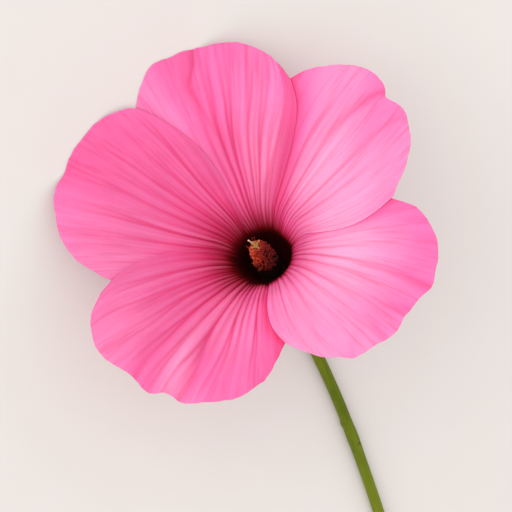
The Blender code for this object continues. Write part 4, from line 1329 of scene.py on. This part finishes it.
@dataclass
class Epicalyx:
    """Collar round the top of the stem, with its ring of slim bracts."""

    bloom: Bloom
    count: int = 10
    first: float = 10.0 * DEG
    length: float = 25.0 * MM
    width: float = 2.5 * MM
    taper: float = 0.86
    taper_power: float = 1.8
    turn: float = 80.0 * DEG
    turn_spread: float = 3.0 * DEG
    keel: float = 0.35 * MM
    thickness: float = 0.6 * MM
    root_depth: float = 1.2 * MM
    inner: float = 3.6 * MM
    outer: float = 6.0 * MM
    top: float = -3.75 * MM
    depth: float = 1.0 * MM
    edge: float = 0.25 * MM
    rows: int = 26
    columns: int = 8
    segments: int = 64
    seed: int = 71

    def bract(self, shape: Shape, angle: float, turn: float) -> None:
        """Add one bract that springs from the collar, spreads and turns up at its tip."""
        made = bmesh.ops.create_grid(
            shape, x_segments=self.columns, y_segments=self.rows, size=0.5, calc_uvs=True
        )["verts"]
        outward = Vector((math.cos(angle), math.sin(angle), 0))
        sideways = Vector((-math.sin(angle), math.cos(angle), 0))
        middle = self.top - self.depth / 2
        for vert in made:
            across, along = vert.co.x * 2, vert.co.y + 0.5
            half = self.width / 2 * (1 - self.taper * along**self.taper_power)
            climb = turn * along
            reach = self.outer - self.root_depth + self.length * math.sin(climb) / turn
            height = middle + self.length * (1 - math.cos(climb)) / turn + self.keel * across * across * along
            vert.co = outward * reach + sideways * half * across + Vector((0, 0, height))
        faces = list({face for vert in made for face in vert.link_faces})
        bmesh.ops.recalc_face_normals(shape, faces=faces)
        bmesh.ops.solidify(shape, geom=faces, thickness=self.thickness)

    def build(self, finish: GreenFinish) -> None:
        """Make the collar and its bracts, and settle them."""
        draw = np.random.default_rng(self.seed)
        shape = bmesh.new()
        shape.loops.layers.uv.new("pattern")
        for index in range(self.count):
            angle = self.first + FULL_TURN * index / self.count
            self.bract(shape, angle, self.turn - self.turn_spread * draw.uniform(0, 1))
        low = self.top - self.depth
        wall = self.outer - self.edge
        spun(shape, [
            (self.inner, self.top), (self.inner, low), (wall, low), (self.outer, low + self.edge),
            (self.outer, self.top - self.edge), (wall, self.top), (self.inner, self.top),
        ], self.segments)
        piece = self.bloom.lay("bract_ring", shape)
        settle(piece, "epicalyx", finish.material("bract_ring"))


@dataclass
class StaminalColumn:
    """Tube round the style, with its filaments and their grainy anthers.

    Attributes:
        outside: Radius and height of the tube's outside in millimetres, from its foot to its mouth.
        inside: Radius and height of its inside in millimetres, from its mouth to its foot.
        unevenness: Spread of the stamens' angles, in radians.
        tube_tone, filament_tone, deepest_shade_tone: Tones of the tube, of a filament against its anther,
        and of the most shaded anther, which is painted shade.
        shaded_side: Painted shade: how bright the side of the anthers away from the key light is, against the
            lit side.
        strays: Low stamens that stand out, each with its height, its angle and its reach.
    """

    bloom: Bloom
    outside: Curve = (
        (4.4, -2.2), (6.1, -1.8), (6.2, -1.1), (5.2, -0.4), (4.7, 0.6), (4.5, 1.6), (3.8, 3.6), (2.6, 6.6),
        (2.0, 8.8), (1.95, 16.0), (1.9, 26.5),
    )
    inside: Curve = (
        (1.25, 26.5), (1.25, 14.0), (1.25, 8.2), (1.75, 6.2), (2.9, 3.4), (3.35, 1.0), (3.35, -2.2),
    )
    segments: int = 48
    profile_steps: int = 40
    count: int = 300
    lowest: float = 9.6 * MM
    highest: float = 26.1 * MM
    root: float = 1.5 * MM
    reach: float = 4.5 * MM
    reach_spread: float = 0.7 * MM
    crown: float = 0.6
    tilt: float = 14.0 * DEG
    tilt_gain: float = 16.0 * DEG
    unevenness: float = 0.12
    filament_radius: float = 0.17 * MM
    filament_thinning: float = 0.12
    filament_steps: int = 3
    filament_bend: float = 0.4
    filament_sides: int = 6
    anther: tuple[float, float, float] = (0.57 * MM, 0.9 * MM, 0.62 * MM)
    anther_waist: tuple[float, float] = (0.3, 0.5)
    anther_grain: float = 0.13
    anther_swing: float = 0.5
    anther_spread: float = 0.2
    golden_angle: float = 137.508 * DEG
    tube_tone: float = 0.7
    filament_tone: float = 0.85
    deepest_shade_tone: float = 0.14
    shaded_side: float = 0.12
    tone_range: tuple[float, float] = (0.7, 1.05)
    grain_range: tuple[float, float] = (0.9, 1.1)
    lit_side: float = 170.0 * DEG
    stray_size: float = 0.48
    strays: tuple[tuple[float, float, float], ...] = (
        (23.5, 108.0, 4.7), (25.5, 118.0, 4.0), (22.0, 164.0, 5.2), (23.5, 172.0, 4.3), (14.0, 212.0, 5.5),
    )
    seed: int = 83

    def __post_init__(self) -> None:
        """Start the column's own random draws."""
        self.draw = np.random.default_rng(self.seed)

    def stamen(self, shape: Shape, height: float, angle: float, reach: float, size: float = 1.0) -> None:
        """Add one stamen: a filament that bends up, and a kidney-shaped anther at its tip.

        Args:
            shape: The mesh that the stamen is added to.
            height: Height at which it leaves the tube.
            angle: Direction in which it leaves the tube.
            reach: Distance of its anther from the axis.
            size: Size of its anther against the others.
        """
        draw = self.draw
        tone = shape.verts.layers.float["tone"]
        share = (height - self.lowest) / (self.highest - self.lowest)
        tilt = self.tilt + self.tilt_gain * share + draw.normal(0, self.unevenness)
        place = Matrix.Translation((0, 0, height)) @ Matrix.Rotation(angle, 4, "Z")
        centres = []
        radii = []
        steps = self.filament_steps
        for step in range(steps + 1):
            out = (reach - self.root) * step / steps
            bend = 1 - self.filament_bend + self.filament_bend * step / steps
            centres.append(place @ Vector((self.root + out, 0, out * math.tan(tilt) * bend)))
            radii.append(self.filament_radius * (1 - self.filament_thinning * step))
        shade = self.shade(centres[-1], share) * draw.uniform(*self.tone_range) * size
        for vert in grow_stalk(shape, centres, radii, self.filament_sides):
            vert[tone] = self.filament_tone * shade
        made = bmesh.ops.create_icosphere(shape, subdivisions=2, radius=1.0)["verts"]
        depth, width = self.anther_waist
        for vert in made:
            waist = math.exp(-(vert.co.y / width) ** 2)
            vert.co.x += depth * waist if vert.co.x < 0 else 0.0
            vert.co *= 1 + self.anther_grain * draw.uniform(-1, 1)
            vert[tone] = shade * draw.uniform(*self.grain_range)
        swing = Matrix.Rotation(draw.uniform(0, FULL_TURN), 4, "X")
        swing = swing @ Matrix.Rotation(draw.normal(0, self.anther_swing), 4, "Z")
        grown = size * (1 + self.anther_spread * draw.uniform(-1, 1))
        scale = Matrix.Diagonal((*self.anther, 1.0)) * grown
        scale[3][3] = 1.0
        aim = Matrix.Translation(centres[-1]) @ place.to_3x3().to_4x4() @ swing @ scale
        bmesh.ops.transform(shape, matrix=aim, verts=made)

    def shade(self, place: Vector, share: float) -> float:
        """Tone of an anther with painted shade: darker low in the throat and on the side away from the key
        light.
        """
        side = place.x * math.cos(self.lit_side) + place.y * math.sin(self.lit_side)
        lit = float(ease(0.6 + 0.5 * side / self.reach))
        return blend(self.deepest_shade_tone, 1.0, float(ease(0.35 + share)) * blend(self.shaded_side, 1.0, lit))

    def build(self, finish: ColumnFinish) -> None:
        """Make the tube and its stamens, and settle them."""
        shape = bmesh.new()
        tone = shape.verts.layers.float.new("tone")
        outline = rounded(self.outside, self.profile_steps) + rounded(self.inside, self.profile_steps)
        for vert in spun(shape, outline + outline[:1], self.segments):
            vert[tone] = self.tube_tone * float(ease(vert.co.z / self.lowest - 0.5))
        for index in range(self.count):
            share = (index + 0.5) / self.count
            reach = self.reach * (1 - self.crown * share**2) + self.reach_spread * self.draw.uniform(-1, 0.8)
            angle = index * self.golden_angle + self.draw.normal(0, self.unevenness)
            self.stamen(shape, blend(self.lowest, self.highest, share), angle, reach)
        for height, angle, reach in self.strays:
            self.stamen(shape, height * MM, angle * DEG, reach * MM, self.stray_size)
        lean_over(shape)
        piece = self.bloom.lay("stamen_column", shape)
        settle(piece, "staminal_column", finish.material("stamen_column"))


@dataclass
class Pistil:
    """Ovary and style, with five branches that end in round stigmas.

    Attributes:
        tip: The style's outline above the ovary, in millimetres.
        branches: For each branch its angle, its tip's distance from the axis, its tip's height above
            the branch's root, and the tone of its stigma.
        branch_tip: Radius at a branch's tip, against its stigma's.
        branch_tone, tone_drop: Tone of a branch at its root, and how far its tip falls short of
            its stigma's tone.
    """

    bloom: Bloom
    base: float = -2.2 * MM
    ovary_radius: float = 2.7 * MM
    ovary_height: float = 7.0 * MM
    ovary_steps: int = 22
    tip: Curve = ((0.75, 4.8), (0.75, 23.4), (0.825, 26.0), (1.15, 27.4), (0.92, 27.75), (0.0, 27.5))
    segments: int = 32
    style_flare: float = 1.15 * MM
    branches: tuple[tuple[float, float, float, float], ...] = (
        (146.0, 2.7, 2.4, 1.0), (46.0, 2.0, 2.0, 0.6), (104.0, 1.2, 1.2, 0.5), (218.0, 1.3, 1.0, 0.5),
        (318.0, 1.3, 0.8, 0.5),
    )
    branch_root: float = 26.9 * MM
    branch_start: float = 0.3 * MM
    branch_spread: float = 2.3 * MM
    branch_radius: float = 0.62 * MM
    branch_tip: float = 0.6
    branch_curve: float = 1.2
    branch_taper: float = 0.8
    branch_steps: int = 7
    branch_sides: int = 10
    branch_tone: float = 0.3
    tone_drop: float = 0.45
    stigma: float = 0.36 * MM
    stigma_grain: float = 0.16
    seed: int = 97

    def outline(self) -> list[tuple[float, float]]:
        """Outline of the ovary and the style, from the base to the flared tip."""
        points = []
        for step in range(self.ovary_steps):
            turn = math.pi * step / (self.ovary_steps + 2)
            climb = self.ovary_height * (1 - math.cos(turn)) / 2
            points.append((self.ovary_radius * math.sin(turn), self.base + climb))
        return points + [(radius * MM, height * MM) for radius, height in self.tip]

    def build(self, finish: PistilFinish) -> None:
        """Make the pistil and settle it."""
        draw = np.random.default_rng(self.seed)
        shape = bmesh.new()
        tone = shape.verts.layers.float.new("tone")
        spun(shape, self.outline(), self.segments)
        for angle, spread, climb, shade in self.branches:
            outward = Vector((math.cos(angle * DEG), math.sin(angle * DEG), 0))
            centres = []
            radii = []
            for step in range(self.branch_steps + 1):
                share = step / self.branch_steps
                height = self.branch_root + climb * MM * math.sin(share * math.pi / 2)
                away = self.branch_start + spread * MM * share**self.branch_curve
                centres.append(outward * away + Vector((0, 0, height)))
                tip = self.stigma * self.branch_tip
                radii.append(blend(self.branch_radius, tip, share**self.branch_taper))
            for vert in grow_stalk(shape, centres, radii, self.branch_sides):
                reached = (vert.co.xy.length - self.style_flare) / (self.branch_spread - self.style_flare)
                vert[tone] = self.branch_tone + (shade - self.tone_drop) * min(1.0, max(0.0, reached))
            made = bmesh.ops.create_icosphere(shape, subdivisions=3, radius=self.stigma)["verts"]
            for vert in made:
                vert.co *= 1 + self.stigma_grain * draw.uniform(-1, 1)
                vert[tone] = shade
            bmesh.ops.translate(shape, verts=made, vec=centres[-1])
        lean_over(shape)
        piece = self.bloom.lay("style_and_stigmas", shape)
        settle(piece, "pistil", finish.material("style_and_stigmas"))


@dataclass
class Stem:
    """Stem with its disc under the calyx, its joint and its cut end.

    Attributes:
        cut_rings: Rings of the cut end, each with its share of the radius, its depth in
            millimetres and how pale it is.
        top_shares: Shares of the radius at the rings that close the top.
    """

    bloom: Bloom
    radius: float = 2.5 * MM
    length: float = 176.0 * MM
    stride: float = 4.6 * MM
    turn: float = 23.5 * DEG
    turn_length: float = 55.0 * MM
    disc_radius: float = 3.15 * MM
    disc_share: float = 0.4
    disc_top: float = -3.7 * MM
    neck: float = 3.3 * MM
    neck_radius: float = 2.7 * MM
    drift: float = 1.6 * MM
    drift_run: float = 40.0 * MM
    node_at: float = 92.6 * MM
    node_run: float = 0.55 * MM
    node_depth: float = 0.16 * MM
    node_side: float = 0.35
    scar_at: float = 81.9 * MM
    scar_run: float = 1.5 * MM
    scar_height: float = 0.42 * MM
    scar_brown: float = 0.25
    brown_run: float = 2.0 * MM
    brown_fade: float = 4.0 * MM
    brown_share: float = 0.35
    joint_at: float = 90.0 * MM
    joint_run: float = 5.0 * MM
    joint_swell: float = 0.25 * MM
    sides: int = 48
    rings: int = 420
    rib_height: float = 0.012
    ribs: int = 7
    cut_rings: tuple[tuple[float, float, float], ...] = (
        (0.97, 0.0, 0.3), (0.9, 0.05, 0.6), (0.78, 0.1, 0.8), (0.45, 0.3, 1.0), (0.2, 0.35, 1.0),
        (0.0, 0.35, 1.0),
    )
    top_shares: tuple[float, ...] = (0.0, 0.5, 0.96)

    def route(self) -> tuple[list[Vector], list[float], list[float]]:
        """Centres, radii and runs of the stem, as the frame's stem has them."""
        matrix = self.bloom.matrix()
        axis = (matrix.to_3x3() @ Vector((0, 0, 1))).normalized()
        start = matrix @ Vector((0, 0, self.disc_top))
        dive = math.asin(axis.z)
        heading = math.atan2(-axis.y, -axis.x)
        place = start - axis * self.neck
        bend_radius = (place.z - self.radius) / (1 - math.cos(dive))
        bend_length = bend_radius * dive
        centres = [start, start - axis * self.neck * self.disc_share, place.copy()]
        radii = [self.disc_radius, self.disc_radius, self.neck_radius]
        runs = [-self.neck, -self.neck * (1 - self.disc_share), 0.0]
        steps = round(self.length / self.stride)
        stride = self.length / steps
        for step in range(steps):
            middle = stride * (step + 0.5)
            pitch = dive * (1 - min(1.0, middle / bend_length))
            course = heading - self.turn * (1 - math.exp(-middle / self.turn_length))
            place += stride * math.cos(pitch) * Vector((math.cos(course), math.sin(course), 0))
            run = stride * (step + 1)
            swell = self.joint_swell * math.exp(-((run - self.joint_at) / self.joint_run) ** 2)
            left = dive * (1 - min(1.0, run / bend_length))
            place.z = self.radius + bend_radius * (1 - math.cos(left)) + swell
            centres.append(place - Vector((self.drift * float(ease(run / self.drift_run)), 0, 0)))
            radii.append(self.radius + swell)
            runs.append(run)
        return centres, radii, runs

    def tube(self, path: Array, width: Array) -> Array:
        """Points of a ribbed tube, from the centre and the radius of each of its rings."""
        along = np.gradient(path, axis=0)
        along /= np.linalg.norm(along, axis=1, keepdims=True)
        across = np.cross(along, (0.0, 0.0, 1.0))
        across /= np.linalg.norm(across, axis=1, keepdims=True)
        upward = np.cross(across, along)
        turn = FULL_TURN * np.arange(self.sides + 1) / self.sides
        ribs = self.rib_height * np.cos(self.ribs * turn) - self.rib_height
        turn[-1] = 0.0
        spoke = np.cos(turn)[None, :, None] * upward[:, None] + np.sin(turn)[None, :, None] * across[:, None]
        return path[:, None] + (width[:, None] * (1 + ribs))[..., None] * spoke

    def scarred(self, places: Array, path: Array, width: Array, run: Array) -> Array:
        """Press the node's groove and raise the leaf scar in the stalk.

        Args:
            places: Points of the stalk's rings, which are moved.
            path: Centre of each ring.
            width: Radius of each ring.
            run: Length along the stem at each ring.

        Returns:
            How brown each point is.
        """
        outward = (places - path[:, None, :]) / width[:, None, None]
        side = outward[..., 0]
        groove = bell(run - self.node_at, self.node_run)[:, None] * ease(self.node_side + side)
        bump = bell(run - self.scar_at, self.scar_run)[:, None] * ease(-side)
        places += outward * (self.scar_height * bump - self.node_depth * groove)[..., None]
        past = run - self.node_at
        below = ease(past / self.brown_run) * np.exp(-np.clip(past, 0, None) / self.brown_fade)
        under = self.brown_share * below[:, None] * ease(-side)
        return np.maximum(groove, under) + self.scar_brown * bump

    def build(self, finish: StemFinish) -> None:
        """Make the stem along its route, with a recessed cut end, and settle it."""
        centres, radii, runs = self.route()
        knots = np.array([list(centre) for centre in centres])
        even = np.linspace(0, 1, self.rings)
        stations = stations_of(knots)
        path = smooth_curve(knots, even)
        width = np.interp(even, stations, radii)
        run = np.interp(even, stations, runs)
        stalk = self.tube(path, width)
        brown = self.scarred(stalk, path, width, run)
        first, last = path[0], path[-1]
        out = (last - path[-2]) / np.linalg.norm(last - path[-2])
        top = [first + (stalk[0] - first) * share for share in self.top_shares]
        end = [last + (stalk[-1] - last) * share - out * sink * MM for share, sink, _ in self.cut_rings]
        places = np.concatenate([np.stack(top), stalk, np.stack(end)])
        scar = np.zeros(places.shape[:2])
        scar[len(top):-len(end)] = brown
        cut = np.zeros(places.shape[:2])
        cut[-len(end):] = np.array(self.cut_rings)[:, 2:]
        across = np.broadcast_to(np.arange(self.sides + 1) / self.sides, places.shape[:2])
        along = np.pad(run, (len(top), len(end)), "edge") / PATTERN_UNIT
        along = np.broadcast_to(along[:, None], places.shape[:2])
        marks = {"cut": cut, "scar": scar}
        piece = Lattice("stem_stalk", places, across, along, marks, around=True).build()
        settle(piece, "stem", finish.material("stem_stalk"))


@dataclass
class Studio:
    """Pale floor, soft lights and the camera at the photo's angle."""

    bloom: Bloom
    effects: Effects
    bloom_from_camera: Vector = field(default_factory=lambda: Vector((6.09, -5.36, -746.89)) * MM)
    tip: float = 24.5 * DEG
    tip_towards: float = 116.0 * DEG
    lens: float = 126.2
    sensor: float = 36.0
    floor_size: float = 12.0
    floor_tone: Colour = (0.74, 0.713, 0.683, 1)
    floor_shade: float = 0.985
    sky: Colour = (1.0, 0.985, 0.975, 1)
    sky_strength: float = 1.04
    key_from: tuple[float, float, float] = (-0.5, 0.2, 0.85)
    key_away: float = 4.0
    key_size: float = 4.0
    key_power: float = 60.0
    key_tone: tuple[float, float, float] = (1.0, 0.985, 0.965)

    def build(self) -> None:
        """Make the floor, the camera, the key light and the sky."""
        self._floor()
        matrix = self._camera()
        self._key(matrix.to_3x3())
        world = bpy.data.worlds.new("studio_sky")
        world.use_nodes = True
        ground = world.node_tree.nodes["Background"]
        ground.inputs["Color"].default_value = self.sky
        ground.inputs["Strength"].default_value = self.sky_strength
        bpy.context.scene.world = world
        bpy.context.scene.view_settings.view_transform = "Standard"

    def _floor(self) -> None:
        """Lay the plain floor."""
        shape = bmesh.new()
        bmesh.ops.create_grid(shape, x_segments=2, y_segments=2, size=self.floor_size / 2)
        mesh = mesh_from("studio_floor", shape)
        graph = Finish.start("studio_floor", Roughness=0.9, Specular_IOR_Level=0.1)
        tone = graph.group(self.effects.grain, Cells=900.0, Blotches=30.0)["Tone"]
        darker = tuple(part * self.floor_shade for part in self.floor_tone[:3]) + (1,)
        ground = graph.tint(darker, self.floor_tone, graph.span(tone, *NOISE_RANGE))
        graph.feed(graph.shader.inputs["Base Color"], ground)
        mesh.materials.append(graph.material)
        put(mesh)

    def _camera(self) -> Matrix:
        """Set the camera from how it sees the bloom, and give back where it stands."""
        data = bpy.data.cameras.new("photo_view")
        data.lens = self.lens
        data.sensor_width = self.sensor
        axis = Vector((-math.sin(self.tip_towards), math.cos(self.tip_towards), 0))
        seen = Matrix.Translation(self.bloom_from_camera) @ Matrix.Rotation(self.tip, 4, axis)
        camera = put(data)
        camera.matrix_world = self.bloom.matrix() @ seen.inverted()
        bpy.context.scene.camera = camera
        return camera.matrix_world.copy()

    def _key(self, turn: Matrix) -> None:
        """Hang the key light on the camera's left."""
        data = bpy.data.lights.new("key_light", "AREA")
        data.shape = "SQUARE"
        data.size = self.key_size
        data.energy = self.key_power
        data.color = self.key_tone
        towards = (turn @ Vector(self.key_from)).normalized()
        place = self.bloom.claws + towards * self.key_away
        put(data).matrix_world = Matrix.LocRotScale(place, towards.to_track_quat("Z", "Y"), None)


def main() -> None:
    """Build and dress the flower, then set its floor, lights and camera."""
    effects = Effects()
    bloom = Bloom()
    funnel = Funnel()
    petal_finish = PetalFinish(effects)
    green_finish = GreenFinish(effects)
    for index in range(len(PETAL_PLANS)):
        Petal(index, bloom, funnel).build(petal_finish)
    Calyx(bloom, funnel).build(green_finish)
    Epicalyx(bloom).build(green_finish)
    StaminalColumn(bloom).build(ColumnFinish(effects))
    Pistil(bloom).build(PistilFinish(effects))
    Stem(bloom).build(StemFinish(effects))
    Studio(bloom, effects).build()


if __name__ == "__main__":
    logging.basicConfig(level=logging.INFO, format="%(message)s")
    main()
